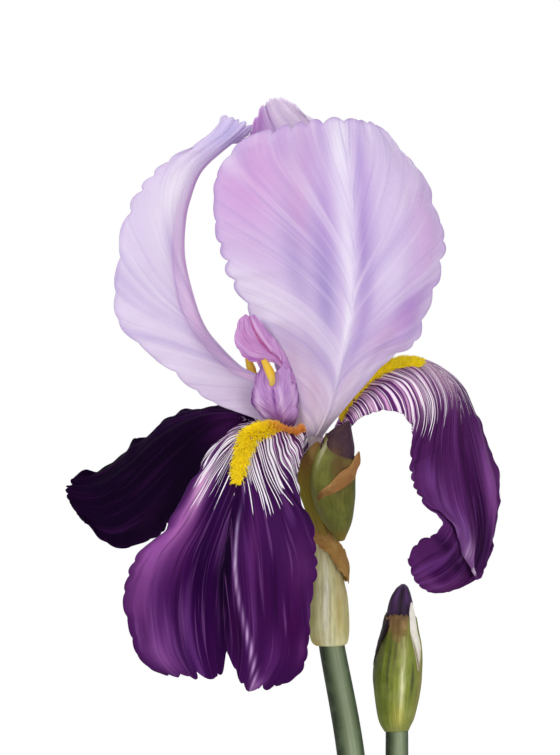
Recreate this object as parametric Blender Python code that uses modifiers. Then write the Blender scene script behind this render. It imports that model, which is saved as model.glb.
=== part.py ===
"""Bearded irises in a bottle vase: one open bloom and one closed bud, each on its own cut stem.

The origin is the centre of the vase's underside, +Z is up, and the open face of the bloom looks along -Y.
Lengths are in metres. The petals' rails are drawn in millimetres about the heart of the bloom, for the
nominal petal lengths below, and scale with those lengths from the seat of each petal.
"""

import math

import bmesh
import bpy
import numpy as np

MM = 0.001

# Clearance between pieces that touch.
GAP = 0.0003

# Vase
VASE_HEIGHT = 0.175
VASE_WALL = 0.0032
VASE_FLOOR = 0.006
VASE_FOOT_RADIUS = 0.031
VASE_BELLY_RADIUS = 0.043
VASE_BORE_RADIUS = 0.0088
VASE_LIP_FLARE = 0.0016

# Stems
FLOWER_STEM_RADIUS = 0.0039
BUD_STEM_RADIUS = 0.0032
SHEATH_WALL = 0.0008
OVARY_RADIUS = 0.0033
TUBE_RADIUS = 0.0024
THROAT_RADIUS = 0.0050
THROAT_DEPTH = 0.0050

# Heights above the lip of the vase
SPATHE_FOOT_ABOVE_LIP = 0.0550
HEART_ABOVE_LIP = 0.1132
BUD_FOOT_ABOVE_LIP = 0.0306

# Petals
PETAL_THICKNESS = 0.0011
STANDARD_LENGTH = 0.092
FALL_LENGTH = 0.092
CLAW_HALF_WIDTH = 0.0021
HAFT_HALF_WIDTH = 0.0029
BEARD_RADIUS = 0.0014
STYLE_ARM_LENGTH = 0.036
STYLE_ARM_THICKNESS = 0.0012
STAMEN_LENGTH = 0.027
FILAMENT_RADIUS = 0.0005
ANTHER_RADIUS = 0.0010

# Buds
BUD_LENGTH = 0.0420
BUD_RADIUS = 0.0067
SIDE_BUD_LENGTH = 0.0330
SIDE_BUD_RADIUS = 0.0062

# The nominal lengths, in millimetres, that the rails are drawn for.
STANDARD_DRAWN = 92.0
FALL_DRAWN = 92.0
STYLE_ARM_DRAWN = 36.0
STAMEN_DRAWN = 27.0


def clear_scene():
    for old in list(bpy.data.objects):
        bpy.data.objects.remove(old, do_unlink=True)


def finish(name, rgb, roughness):
    """A Principled material with one colour, as the plain model needs."""
    made = bpy.data.materials.new(name)
    made.use_nodes = True
    shader = made.node_tree.nodes["Principled BSDF"]
    shader.inputs["Base Color"].default_value = (*rgb, 1.0)
    shader.inputs["Roughness"].default_value = roughness
    shader.inputs["Metallic"].default_value = 0.0
    return made


def add_object(name, data, material, collection, parent=None):
    data.materials.append(material)
    made = bpy.data.objects.new(name, data)
    collection.objects.link(made)
    made.parent = parent
    return made


def add_empty(name, place, collection):
    made = bpy.data.objects.new(name, None)
    made.location = place
    collection.objects.link(made)
    return made


def smooth_rail(points, count):
    """Catmull-Rom curve through the points, sampled at count places evenly spaced along its length."""
    knots = np.asarray(points, float)
    before = 2 * knots[0] - knots[1]
    after = 2 * knots[-1] - knots[-2]
    padded = np.vstack([before, knots, after])
    fine = []
    share = np.linspace(0, 1, 12, endpoint=False)[:, None]
    for p0, p1, p2, p3 in zip(padded, padded[1:], padded[2:], padded[3:]):
        linear = (p2 - p0) * share
        square = (2 * p0 - 5 * p1 + 4 * p2 - p3) * share**2
        cubic = (3 * p1 - p0 - 3 * p2 + p3) * share**3
        fine.append(p1 + 0.5 * (linear + square + cubic))
    fine = np.vstack([*fine, knots[-1:]])
    along = np.concatenate([[0], np.cumsum(np.linalg.norm(np.diff(fine, axis=0), axis=1))])
    wanted = np.linspace(0, along[-1], count)
    return np.stack([np.interp(wanted, along, fine[:, k]) for k in range(fine.shape[1])], axis=1)


def polar(radius, degrees, height=0.0):
    turn = math.radians(degrees)
    return np.array([radius * math.cos(turn), radius * math.sin(turn), height])


# ---------------------------------------------------------------- vase


def vase_profile():
    """Outer radius against height: a foot, a round belly, a slim neck and a slightly flared lip."""
    neck = VASE_BORE_RADIUS + VASE_WALL
    knots = [
        (0.0, VASE_FOOT_RADIUS),
        (0.05 * VASE_HEIGHT, 0.45 * VASE_FOOT_RADIUS + 0.55 * VASE_BELLY_RADIUS),
        (0.18 * VASE_HEIGHT, 0.05 * VASE_FOOT_RADIUS + 0.95 * VASE_BELLY_RADIUS),
        (0.34 * VASE_HEIGHT, VASE_BELLY_RADIUS),
        (0.52 * VASE_HEIGHT, neck + 0.78 * (VASE_BELLY_RADIUS - neck)),
        (0.68 * VASE_HEIGHT, neck + 0.30 * (VASE_BELLY_RADIUS - neck)),
        (0.80 * VASE_HEIGHT, neck + 0.05 * (VASE_BELLY_RADIUS - neck)),
        (0.92 * VASE_HEIGHT, neck),
        (VASE_HEIGHT - 0.4 * VASE_WALL, neck + VASE_LIP_FLARE),
    ]
    return smooth_rail(knots, 22)


def make_vase(material, collection):
    """One closed wall, turned about +Z from the middle of the inner floor, over the lip, to the underside."""
    outer = vase_profile()
    slope = np.gradient(outer, axis=0)
    slope /= np.linalg.norm(slope, axis=1)[:, None]
    inner = outer + VASE_WALL * np.stack([slope[:, 1], -slope[:, 0]], axis=1)
    inner = inner[inner[:, 0] > VASE_FLOOR + 0.5 * VASE_WALL]
    lip_middle = 0.5 * (outer[-1] + inner[-1]) + np.array([0.4 * VASE_WALL, 0.0])
    floor_radius = inner[0, 1] - 0.5 * VASE_WALL
    outline = [(VASE_FLOOR, 0.0), (VASE_FLOOR, floor_radius), *inner, tuple(lip_middle)]
    outline += [*outer[::-1], (0.0, 0.0)]
    mesh = bpy.data.meshes.new("vase")
    builder = bmesh.new()
    ring = [builder.verts.new((radius, 0.0, height)) for height, radius in outline]
    for start, end in zip(ring, ring[1:]):
        builder.edges.new((start, end))
    builder.to_mesh(mesh)
    builder.free()
    vase = add_object("vase", mesh, material, collection)
    turn = vase.modifiers.new("turn", "SCREW")
    turn.steps = turn.render_steps = 40
    turn.use_merge_vertices = True
    turn.merge_threshold = 0.0001
    turn.use_normal_calculate = True
    return vase


# ---------------------------------------------------------------- stems, sheaths and buds


def make_stalk(name, points, radii, material, collection, parent=None, samples=12, closed=True):
    """A round stalk whose radius changes along a smooth path, as a bevelled curve."""
    route = smooth_rail([(*point, radius) for point, radius in zip(points, radii)], samples)
    curve = bpy.data.curves.new(name, "CURVE")
    curve.dimensions = "3D"
    curve.bevel_depth = 1.0
    curve.bevel_resolution = 4
    curve.use_fill_caps = closed
    line = curve.splines.new("POLY")
    line.points.add(len(route) - 1)
    for knot, (x, y, z, radius) in zip(line.points, route):
        knot.co = (x, y, z, 1.0)
        knot.radius = radius
    return add_object(name, curve, material, collection, parent)


def make_sheath(name, points, radii, wall, material, collection, parent=None, samples=10):
    """A stalk that is an open tube with a thin wall: the radii are those of its outside."""
    sheath = make_stalk(name, points, radii, material, collection, parent, samples, closed=False)
    wall_solid = sheath.modifiers.new("wall", "SOLIDIFY")
    wall_solid.thickness = wall
    wall_solid.offset = -1.0
    return sheath


# ---------------------------------------------------------------- petals


def loft(left, midrib, right, spread, across, along):
    """Grid of points over three rails: v runs from the left edge (-1) to the right edge (+1)."""
    rails = [smooth_rail(rail, along + 1) for rail in (left, midrib, right)]
    v = np.linspace(-1, 1, across + 1)[None, :, None]
    low, middle, high = (rail[:, None, :] for rail in rails)
    return middle + 0.5 * (high - low) * v + (0.5 * (high + low) - middle) * np.abs(v) ** spread


def make_sheet(name, points, thickness, material, collection, parent=None):
    """A grid primitive moved onto the lofted points and given its thickness."""
    rows, columns = points.shape[:2]
    mesh = bpy.data.meshes.new(name)
    builder = bmesh.new()
    bmesh.ops.create_grid(builder, x_segments=columns - 1, y_segments=rows - 1, size=1.0)
    for vertex in builder.verts:
        column = round((vertex.co.x + 1) / 2 * (columns - 1))
        row = round((vertex.co.y + 1) / 2 * (rows - 1))
        vertex.co = points[row, column]
    builder.to_mesh(mesh)
    builder.free()
    sheet = add_object(name, mesh, material, collection, parent)
    body = sheet.modifiers.new("thickness", "SOLIDIFY")
    body.thickness = thickness
    body.offset = 0.0
    body.use_even_offset = True
    return sheet


def seated(rails, seat, scale):
    """Rails drawn in millimetres from their seat, in metres and in place on it."""
    return [np.asarray(rail, float) * MM * scale + seat for rail in rails]


def with_base(rail, offset):
    """Puts the corner of the claw at the head of a rail."""
    return [tuple(np.asarray(offset) / MM), *rail]


# Each petal's rails start at its seat. x is to the right, y is away from the face and z is up.
FRONT_STANDARD = {
    "angle": -55,
    "left": [
        (-2.6, -1.4, 6), (-6, -3, 12.5), (-9.8, -4.6, 19.5), (-17.5, -6.5, 33.5), (-24, -7, 46),
        (-27.5, -6, 58), (-28, -4.5, 67), (-26.5, -3, 75), (-20, -2, 83.5),
    ],
    "midrib": [
        (0, 0, 0), (3.5, -5.5, 7), (6.8, -12.5, 19), (9.9, -18, 34), (10.5, -20.5, 52),
        (9.4, -17, 73), (8, -8, 88.5),
    ],
    "right": [
        (5.7, -1, 5.3), (12.5, -5, 13), (19.6, -8, 20.7), (27.6, -9, 26.3), (31.5, -8.5, 36),
        (36, -7, 51.5), (34, -5, 63), (29.5, -3.5, 74), (21, -2.5, 83.5),
    ],
    "turn": 1,
}
LEFT_STANDARD = {
    "angle": 198,
    "left": [
        (-8, 5, 7), (-19, 11, 15), (-30, 17, 24), (-40, 20, 33), (-44, 21, 45), (-43, 20, 57),
        (-38, 17, 67), (-30, 11, 76), (-22, 6, 82), (-12.5, 3, 88),
    ],
    "midrib": [
        (0, 0, 0), (-4, -1, 8.5), (-8.3, -1.7, 16), (-14.5, -2.2, 19.7), (-20, -2.5, 25),
        (-24.3, -2.8, 30.5), (-27.3, -3, 38), (-30, -3, 50), (-29.9, -2.5, 60), (-28.5, -2, 67),
        (-25.5, -1.5, 74.5), (-20, -1, 81), (-12.5, 0, 88.5),
    ],
    "right": [
        (-8.3, -5, 4.7), (-22.8, -9.5, 10.5), (-36.8, -14.5, 21.5), (-47, -17.5, 30.5),
        (-48.8, -18, 39), (-48, -17.5, 50), (-45.5, -15, 62), (-41.5, -12, 69.5),
        (-34.5, -9, 77), (-23, -5, 84.5), (-19.5, -3, 90),
    ],
    "turn": -1,
}
BACK_STANDARD = {
    "angle": 77,
    "left": [
        (8, 3, 9), (15, 7, 21), (22, 9, 36), (26, 9, 52), (24, 8, 66), (15, 8, 79), (-2.5, 4, 92),
    ],
    "midrib": [
        (0, 0, 0), (2, 6, 9), (5, 12, 21), (7.5, 17, 36), (8, 19, 52), (5, 17, 68),
        (-1, 12, 82), (-8, 6, 91), (-10.4, 3, 95.2),
    ],
    "right": [
        (-4, 6, 9), (-8, 10, 21), (-14, 12, 36), (-18, 12, 52), (-20, 10, 67), (-19, 7, 79),
        (-16.5, 4, 86.5),
    ],
    "turn": -1,
}
FRONT_FALL = {
    "angle": -115,
    "left": [
        (-3.4, 0.3, 3.6), (-7.5, -3, 7.6), (-16, -11.7, 9.2), (-20.2, -14.5, 5.6),
        (-24.4, -16.8, 1.6), (-28.3, -19.5, -4.8), (-32.8, -21.7, -13.2), (-38.5, -22.7, -21.6),
        (-44, -22.7, -26.4), (-47.2, -22.2, -34.2), (-47.3, -21.7, -39.8), (-45.8, -20.5, -48.2),
        (-43, -20, -54.8), (-37.5, -19.7, -58.6),
    ],
    "midrib": [
        (0, 0, 0), (-0.4, -0.9, 3.5), (-2.5, -4.2, 6.8), (-6.5, -10, 8.6), (-9.8, -15.7, 8),
        (-13.2, -20.7, 6.4), (-15.1, -24.7, 2.2), (-16.3, -27.7, -3.4), (-16.8, -29.5, -7.6),
        (-18.8, -32.5, -20.2), (-19.9, -33, -34.2), (-19, -29.5, -58.8),
    ],
    "right": [
        (2.6, -2.2, 3), (1.7, -3.4, 6.4), (0.8, -8.7, 0.8), (-0.9, -14.7, -5.6), (0, -19.7, -11.8),
        (2.8, -23.7, -17.4), (4.2, -26, -23), (5, -27.7, -28.6), (3.9, -28.7, -37), (3.1, -28, -44),
        (2.8, -26.7, -51), (1.2, -25.5, -57), (-4.5, -24.7, -61.6),
    ],
    "turn": 1,
}
LEFT_FALL = {
    "angle": 150,
    "left": [
        (0.5, 3.5, 4), (-6, 9, 9.5), (-18.4, 17, 13.1), (-23.2, 20, 13.7), (-28.9, 23, 12.6),
        (-35.9, 26, 9.2), (-41.4, 28, 5), (-48.4, 29.5, -0.6), (-53.9, 30, -4.2), (-58.5, 29, -6.5),
    ],
    "midrib": [
        (0, 0, 0), (-0.9, 0.5, 4), (-5.9, 4, 8), (-12.9, 8, 9.5), (-20.9, 12, 8), (-28.9, 16, 4),
        (-36.9, 19, -1.5), (-44.9, 21, -9), (-52.9, 22.5, -13.5), (-62, 23, -13),
    ],
    "right": [
        (-2.5, -3, 3), (-6, -3.5, 4.5), (-11, -1, 0), (-20, 2, -6), (-29, 5, -14.5), (-38, 8, -22.5),
        (-46.5, 11, -26.5), (-56, 15, -22.5),
    ],
    "turn": 1,
}
RIGHT_FALL = {
    "angle": 5,
    "left": [
        (2.6, -4.5, 4), (8.4, -7.5, 10.6), (12.1, -9.5, 12.6), (16.1, -11.5, 13.4),
        (20.1, -12.5, 12.8), (23.1, -13.5, 9.2), (23.5, -14.5, 5), (22.9, -15, 0.8),
        (23.1, -15.5, -3.4), (24.6, -15.5, -9), (27.6, -15.5, -13.2), (31.5, -16.5, -17),
        (30, -19, -20.5), (25, -21.5, -22.5), (22.2, -22.5, -27),
    ],
    "midrib": [
        (0, 0, 0), (0.9, 0.1, 4), (3.6, 0.3, 10.5), (6.4, 0.5, 16.2), (10.6, 0.7, 21.2),
        (16.1, 0.9, 25.2), (21.8, 1, 27.3), (27.4, 1, 27), (32.5, 0.5, 23.8), (36.5, -0.5, 18),
        (38.1, -1.5, 7.8), (40.1, -3, -6.2), (42.2, -5.5, -20), (40.5, -9, -28.5),
        (36, -13.5, -34.5), (28.5, -17.5, -36.8),
    ],
    "right": [
        (2.1, 4.5, 7), (8.1, 8.5, 14), (16.1, 11.5, 19), (24.1, 13.5, 21), (32.1, 14.5, 20),
        (38.6, 13.5, 16), (43.1, 11.5, 10), (47.1, 10.5, -0.6), (49, 8.5, -8), (47.6, 5.5, -17.4),
        (46.7, 2.5, -24.4), (43, -7.5, -32.5),
    ],
    "turn": 1,
}


def petal_rails(drawn, seat, half_width, scale):
    """Left, midrib and right rails in metres, with the claw's corners set either side of its seat."""
    sideways = polar(half_width, drawn["angle"] + 90)
    corner = drawn["turn"] * sideways
    left = with_base(drawn["left"], -corner / scale)
    right = with_base(drawn["right"], corner / scale)
    return seated((left, drawn["midrib"], right), seat, scale)


def make_standard(name, drawn, material, collection, heart):
    """Stands on the flat top of the throat, near its rim."""
    seat_radius = THROAT_RADIUS - 0.7 * PETAL_THICKNESS
    seat = polar(seat_radius, drawn["angle"], GAP + 0.35 * PETAL_THICKNESS)
    scale = STANDARD_LENGTH / (STANDARD_DRAWN * MM)
    rails = petal_rails(drawn, seat, CLAW_HALF_WIDTH, scale)
    points = loft(*rails, spread=2.0, across=8, along=16)
    return make_sheet(name, points, PETAL_THICKNESS, material, collection, heart)


def fall_rails(drawn):
    seat_radius = THROAT_RADIUS + GAP + 0.5 * PETAL_THICKNESS
    seat = polar(seat_radius, drawn["angle"], -THROAT_DEPTH)
    scale = FALL_LENGTH / (FALL_DRAWN * MM)
    return petal_rails(drawn, seat, HAFT_HALF_WIDTH, scale)


def make_fall(name, drawn, material, collection, heart):
    """Stands against the flank of the throat, then arches out and down."""
    points = loft(*fall_rails(drawn), spread=2.0, across=8, along=20)
    return make_sheet(name, points, PETAL_THICKNESS, material, collection, heart)


def make_beard(name, drawn, start, end, material, collection, heart):
    """A soft ridge along the midrib, on the upper side of the fall, one gap above its surface."""
    points = loft(*fall_rails(drawn), spread=2.0, across=16, along=60)
    along = np.gradient(points[:, 8], axis=0)
    upward = np.cross(along, points[:, 9] - points[:, 7])
    upward /= np.linalg.norm(upward, axis=1)[:, None]
    lift = 0.5 * PETAL_THICKNESS + GAP + BEARD_RADIUS
    rail = (points[:, 8] + lift * upward)[round(60 * start) : round(60 * end) + 1 : 3]
    share = np.linspace(0, 1, len(rail))
    radii = BEARD_RADIUS * np.minimum(1.0, 0.45 + 4 * np.minimum(share, 1 - share))
    return make_stalk(name, rail, radii, material, collection, heart, samples=12)


# Style arms and stamens, in millimetres: outwards along the fall, sideways, and up.
FRONT_STYLE = {
    "angle": -124,
    "left": [
        (1.7, -1.2, 0.3), (8.4, -1.9, 5), (15.4, -3.8, 8.5), (19, -6, 13), (19, -6, 18),
        (19.2, -7, 23), (21.5, -10.5, 28), (21.5, -9.5, 32),
    ],
    "midrib": [(1.9, 0, 0.3), (6.4, 0, 7), (11.2, 0, 13), (15.1, 0, 19.5), (17.8, -1, 26), (20, -3, 33)],
    "right": [
        (1.7, 1.2, 0.3), (8.0, 2.6, 6.4), (12, 5.6, 11), (14, 7, 15), (15.5, 6, 21), (17, 3.6, 27),
        (19.5, 0.5, 32), (20.5, -2.4, 34.5),
    ],
    "stamen": [(3.5, 0.5, 0.6), (9, 1, 6.5), (16, 1, 12), (21, 2, 17.5), (22, 2, 23)],
}
LEFT_STYLE = {
    "angle": 150,
    "left": [(1.9, -0.9, 0.3), (5.4, -1.7, 7), (9.4, -2.4, 13), (13, -3, 20), (17, -3.6, 26), (19, -2.6, 31)],
    "midrib": [(2.1, 0, 0.3), (5.2, 0, 7.5), (9, 0, 14), (12.4, 0, 21), (15.5, 0, 27), (18, 0, 33)],
    "right": [(1.9, 0.9, 0.3), (5.4, 1.7, 7), (9.4, 2.4, 13), (13, 3, 20), (17, 3.6, 26), (19, 2.6, 31)],
    "stamen": [(3.9, 0, 0.6), (7.8, 0, 6.5), (12.6, 0, 12), (16.6, 0, 18), (19, 0, 23)],
}
RIGHT_STYLE = {
    "angle": 5,
    "left": [(1.6, -1.1, 0.3), (3.4, -1.7, 8), (5.8, -2.5, 15), (10, -3, 22), (15, -3.6, 28), (18, -2.6, 33)],
    "midrib": [(1.8, 0, 0.3), (3.1, 0, 8), (5.4, 0, 16), (9.4, 0, 23), (13.6, 0, 29), (17, 0, 35)],
    "right": [(1.6, 1.1, 0.3), (3.4, 1.7, 8), (5.8, 2.5, 15), (10, 3, 22), (15, 3.6, 28), (18, 2.6, 33)],
    "stamen": [(3.9, 0, 0.6), (5.3, 0, 7), (7.6, 0, 13), (11.4, 0, 19), (15.6, 0, 24.5)],
}


def radial_place(rail, angle, scale):
    """Points given as (out, side, up) in millimetres, turned to point along the angle."""
    out, side, up = np.asarray(rail, float).T
    turn = math.radians(angle)
    x = out * math.cos(turn) - side * math.sin(turn)
    y = out * math.sin(turn) + side * math.cos(turn)
    return np.stack([x, y, up], axis=1) * MM * scale


def make_style_arm(name, drawn, material, collection, heart):
    """A hooded arm over the stamen that ends in a ruffled crest."""
    scale = STYLE_ARM_LENGTH / (STYLE_ARM_DRAWN * MM)
    sides = (drawn["left"], drawn["midrib"], drawn["right"])
    rails = [radial_place(rail, drawn["angle"], scale) for rail in sides]
    points = loft(*rails, spread=2.0, across=6, along=10)
    points[0, :, 2] = 2.2 * GAP
    return make_sheet(name, points, STYLE_ARM_THICKNESS, material, collection, heart)


def make_stamen(name, drawn, material, collection, heart):
    scale = STAMEN_LENGTH / (STAMEN_DRAWN * MM)
    route = radial_place(drawn["stamen"], drawn["angle"], scale)
    radii = [FILAMENT_RADIUS, FILAMENT_RADIUS, 0.8 * ANTHER_RADIUS, ANTHER_RADIUS, 0.5 * ANTHER_RADIUS]
    return make_stalk(name, route, radii, material, collection, heart, samples=10)


# ---------------------------------------------------------------- tube, spathe and side bud


def make_perianth_tube(material, collection, heart):
    """From the flat throat down through the slender tube to the ovary, which stands on the stem."""
    foot = SPATHE_FOOT_ABOVE_LIP - HEART_ABOVE_LIP + 0.012
    route = [
        (0.0, 0.0, 0.0), (0.0, 0.0, -0.5 * THROAT_DEPTH), (0.0, 0.0, -THROAT_DEPTH),
        (0.0008, 0.0, -THROAT_DEPTH - 0.002), (0.0025, 0.0, -0.0115), (0.0048, 0.0, -0.0170),
        (0.0061, 0.0, -0.0250), (0.0065, 0.0, -0.0330), (0.0064, 0.0, -0.0390), (0.0063, 0.0, foot),
    ]
    radii = [
        THROAT_RADIUS, THROAT_RADIUS, THROAT_RADIUS, 0.8 * THROAT_RADIUS, TUBE_RADIUS, TUBE_RADIUS,
        TUBE_RADIUS, 0.85 * OVARY_RADIUS, OVARY_RADIUS, 0.9 * OVARY_RADIUS,
    ]
    return make_stalk("perianth_tube", route, radii, material, collection, heart, samples=26)


def make_spathe(material, collection, heart):
    """Green sheath around the ovary and the top of the stem."""
    foot = SPATHE_FOOT_ABOVE_LIP - HEART_ABOVE_LIP + 0.0013
    close = FLOWER_STEM_RADIUS + GAP + SHEATH_WALL
    route = [
        (0.0069, 0.0, foot), (0.0065, 0.0, foot + 0.0024), (0.0066, 0.0, foot + 0.0125),
        (0.0072, 0.0, foot + 0.0250), (0.0067, 0.0, foot + 0.0305),
    ]
    radii = [close, close + 0.0004, close + 0.0006, close, 0.0043]
    return make_sheath("spathe", route, radii, SHEATH_WALL, material, collection, heart)


def side_bud_axis():
    """Route and radii of the closed bud beside the tube, from its foot to its tip."""
    scale = SIDE_BUD_LENGTH / 0.033
    width = SIDE_BUD_RADIUS / 6.2
    drawn = [
        (9.8, -4.9, -26.3, 0.9), (8.4, -6.5, -22.4, 3.3), (7.6, -8.0, -16.8, 5.4),
        (7.3, -9.1, -11.2, 6.2), (8.1, -10.0, -5.6, 5.6), (9.5, -10.5, 0.0, 4.1), (11.8, -11.0, 5.2, 1.3),
    ]
    route = smooth_rail(drawn, 23)
    foot = route[0, :3] * MM
    return foot + (route[:, :3] * MM - foot) * scale, route[:, 3] * width


def make_side_bud(green, purple, collection, heart):
    """The green valves, and above them the furled dark petals."""
    route, radii = side_bud_axis()
    split = 17
    make_stalk("side_bud", route[:split], radii[:split], green, collection, heart, samples=14)
    step = route[split] - route[split - 1]
    tip = route[split - 1 :].copy()
    tip[0] += GAP * step / np.linalg.norm(step)
    tip_radii = 0.93 * radii[split - 1 :]
    make_stalk("side_bud_tip", tip, tip_radii, purple, collection, heart, samples=7)


def make_bud_bract(material, collection, heart):
    """A papery band that runs obliquely round the front of the side bud."""
    route, radii = side_bud_axis()
    rows, columns = 12, 4
    points = np.zeros((rows + 1, columns + 1, 3))
    for i, along in enumerate(np.linspace(0, 1, rows + 1)):
        turn = math.radians(-48 + 138 * along)
        half = (0.0004 + 0.0014 * along) * SIDE_BUD_LENGTH / 0.033
        for j, across in enumerate(np.linspace(-1, 1, columns + 1)):
            place = 7.2 + 8.2 * along + across * half / 0.0015
            centre = [np.interp(place, range(len(route)), route[:, k]) for k in range(3)]
            radius = np.interp(place, range(len(radii)), radii) + GAP + 0.0007
            points[i, j] = np.array(centre) + radius * np.array([math.sin(turn), -math.cos(turn), 0.0])
    return make_sheet("bud_bract", points, 0.0006, material, collection, heart)


def make_tube_bract(material, collection, heart):
    """A narrow olive bract standing against the tube, between it and the side bud."""
    left = [(3.2, -2.4, -25), (0.4, -4.2, -18), (-1.3, -5.8, -11), (-0.7, -7.8, -6), (0.8, -8.8, -1.2)]
    midrib = [(4.3, -3.1, -25), (1.7, -4.4, -18), (0.2, -6.0, -11), (0.6, -7.5, -6), (1.2, -8.6, -0.4)]
    right = [(5.4, -3.3, -25), (3.0, -4.0, -18), (1.4, -5.2, -11), (1.6, -6.8, -6), (1.7, -8.4, -1.2)]
    rails = [np.array(rail) * MM for rail in (left, midrib, right)]
    points = loft(*rails, spread=2.0, across=4, along=10)
    return make_sheet("tube_bract", points, 0.0006, material, collection, heart)


# ---------------------------------------------------------------- stems


def leaning_foot(radius, x, y):
    """The middle of the cut foot of a stem that stands on the floor of the vase, a gap above it."""
    return (x, y, VASE_FLOOR + GAP + 0.09 * radius)


def at_neck(radius, degrees):
    """The middle of a stem that leans on the wall of the neck, a gap off it."""
    return polar(VASE_BORE_RADIUS - radius - GAP, degrees, 0.92 * VASE_HEIGHT)


def make_flower_stem(heart_place, material, collection):
    top = heart_place + np.array([0.0063, 0.0, SPATHE_FOOT_ABOVE_LIP - HEART_ABOVE_LIP + 0.0112])
    route = [
        leaning_foot(FLOWER_STEM_RADIUS, 0.006, -0.012),
        at_neck(FLOWER_STEM_RADIUS, 195),
        (-0.0079, -0.0030, VASE_HEIGHT + 0.025),
        (-0.0134, -0.0059, VASE_HEIGHT + 0.0564),
        tuple(top),
    ]
    radii = [FLOWER_STEM_RADIUS] * 3 + [0.92 * FLOWER_STEM_RADIUS, 0.88 * FLOWER_STEM_RADIUS]
    return make_stalk("flower_stem", route, radii, material, collection, samples=36)


def bud_foot():
    return np.array([0.0052, 0.0020, VASE_HEIGHT + BUD_FOOT_ABOVE_LIP])


def make_bud_stem(material, collection):
    top = bud_foot()
    route = [
        leaning_foot(BUD_STEM_RADIUS, 0.006, 0.012),
        at_neck(BUD_STEM_RADIUS, 13),
        tuple(top),
    ]
    return make_stalk("bud_stem", route, [BUD_STEM_RADIUS] * 3, material, collection, samples=12)


def make_bud(green, purple, collection):
    """Two green valves drawn as one sheath, and the furled petals that fill it and rise out of its mouth."""
    bud = add_empty("bud", bud_foot(), collection)
    scale = BUD_LENGTH / 0.042
    width = BUD_RADIUS / 6.7
    valves = [
        (0.0, 0.5, 3.4), (-0.2, 4.4, 5.0), (0.0, 12.8, 6.4), (0.1, 17.0, 6.7), (0.5, 21.2, 6.5),
        (0.8, 25.4, 5.9), (1.0, 29.6, 4.9), (1.1, 33.6, 4.2),
    ]
    petals = [
        (0.0, 0.5, 2.2), (-0.2, 4.4, 3.8), (0.1, 14.0, 5.3), (0.5, 21.2, 5.2), (1.0, 29.6, 3.6),
        (1.1, 34.5, 3.4), (1.3, 38.0, 2.6), (1.1, 41.9, 0.7),
    ]
    route = [(x * MM * scale, 0.0, z * MM * scale) for x, z, _ in valves]
    make_sheath("bud_spathe", route, [r * width for _, _, r in valves], 0.0007, green, collection, bud, 13)
    route = [(x * MM * scale, 0.0, z * MM * scale) for x, z, _ in petals]
    make_stalk("bud_petals", route, [r * width for _, _, r in petals], purple, collection, bud, 14)


def main():
    clear_scene()
    irises = bpy.data.collections.new("irises_in_a_vase")
    bpy.context.scene.collection.children.link(irises)

    glaze = finish("glazed_stoneware", (0.71, 0.66, 0.54), 0.25)
    stem_green = finish("stem_green", (0.033, 0.064, 0.025), 0.5)
    spathe_green = finish("spathe_green", (0.21, 0.25, 0.055), 0.55)
    bud_green = finish("bud_green", (0.15, 0.21, 0.033), 0.55)
    tube_green = finish("tube_green", (0.26, 0.27, 0.095), 0.55)
    papery = finish("papery_bract", (0.30, 0.12, 0.025), 0.7)
    lilac = finish("standard_lilac", (0.51, 0.39, 0.71), 0.5)
    purple = finish("fall_purple", (0.051, 0.010, 0.107), 0.5)
    furled = finish("furled_petal", (0.027, 0.008, 0.055), 0.5)
    yellow = finish("beard_yellow", (0.79, 0.54, 0.013), 0.8)
    mauve = finish("style_mauve", (0.34, 0.12, 0.39), 0.5)
    cream = finish("stamen_cream", (0.79, 0.64, 0.21), 0.7)

    make_vase(glaze, irises)

    heart_place = np.array([-0.0204, -0.0060, VASE_HEIGHT + HEART_ABOVE_LIP])
    heart = add_empty("heart", heart_place, irises)
    make_flower_stem(heart_place, stem_green, irises)
    make_perianth_tube(tube_green, irises, heart)
    make_spathe(spathe_green, irises, heart)
    make_side_bud(bud_green, furled, irises, heart)
    make_bud_bract(papery, irises, heart)
    make_tube_bract(bud_green, irises, heart)

    make_standard("front_standard", FRONT_STANDARD, lilac, irises, heart)
    make_standard("left_standard", LEFT_STANDARD, lilac, irises, heart)
    make_standard("back_standard", BACK_STANDARD, lilac, irises, heart)
    make_fall("front_fall", FRONT_FALL, purple, irises, heart)
    make_fall("left_fall", LEFT_FALL, purple, irises, heart)
    make_fall("right_fall", RIGHT_FALL, purple, irises, heart)
    make_beard("front_beard", FRONT_FALL, 0.12, 0.42, yellow, irises, heart)
    make_beard("left_beard", LEFT_FALL, 0.14, 0.42, yellow, irises, heart)
    make_beard("right_beard", RIGHT_FALL, 0.12, 0.36, yellow, irises, heart)
    for side, drawn in (("front", FRONT_STYLE), ("left", LEFT_STYLE), ("right", RIGHT_STYLE)):
        make_style_arm(f"{side}_style_arm", drawn, mauve, irises, heart)
        make_stamen(f"{side}_stamen", drawn, cream, irises, heart)

    make_bud_stem(stem_green, irises)
    make_bud(bud_green, furled, irises)


main()
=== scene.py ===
"""Cut bearded irises standing in a glazed stoneware bottle vase: a lilac and purple bloom and a closed bud.

Sizes inside the sections are in millimetres and become metres when a mesh is made.
"""

import math

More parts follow.
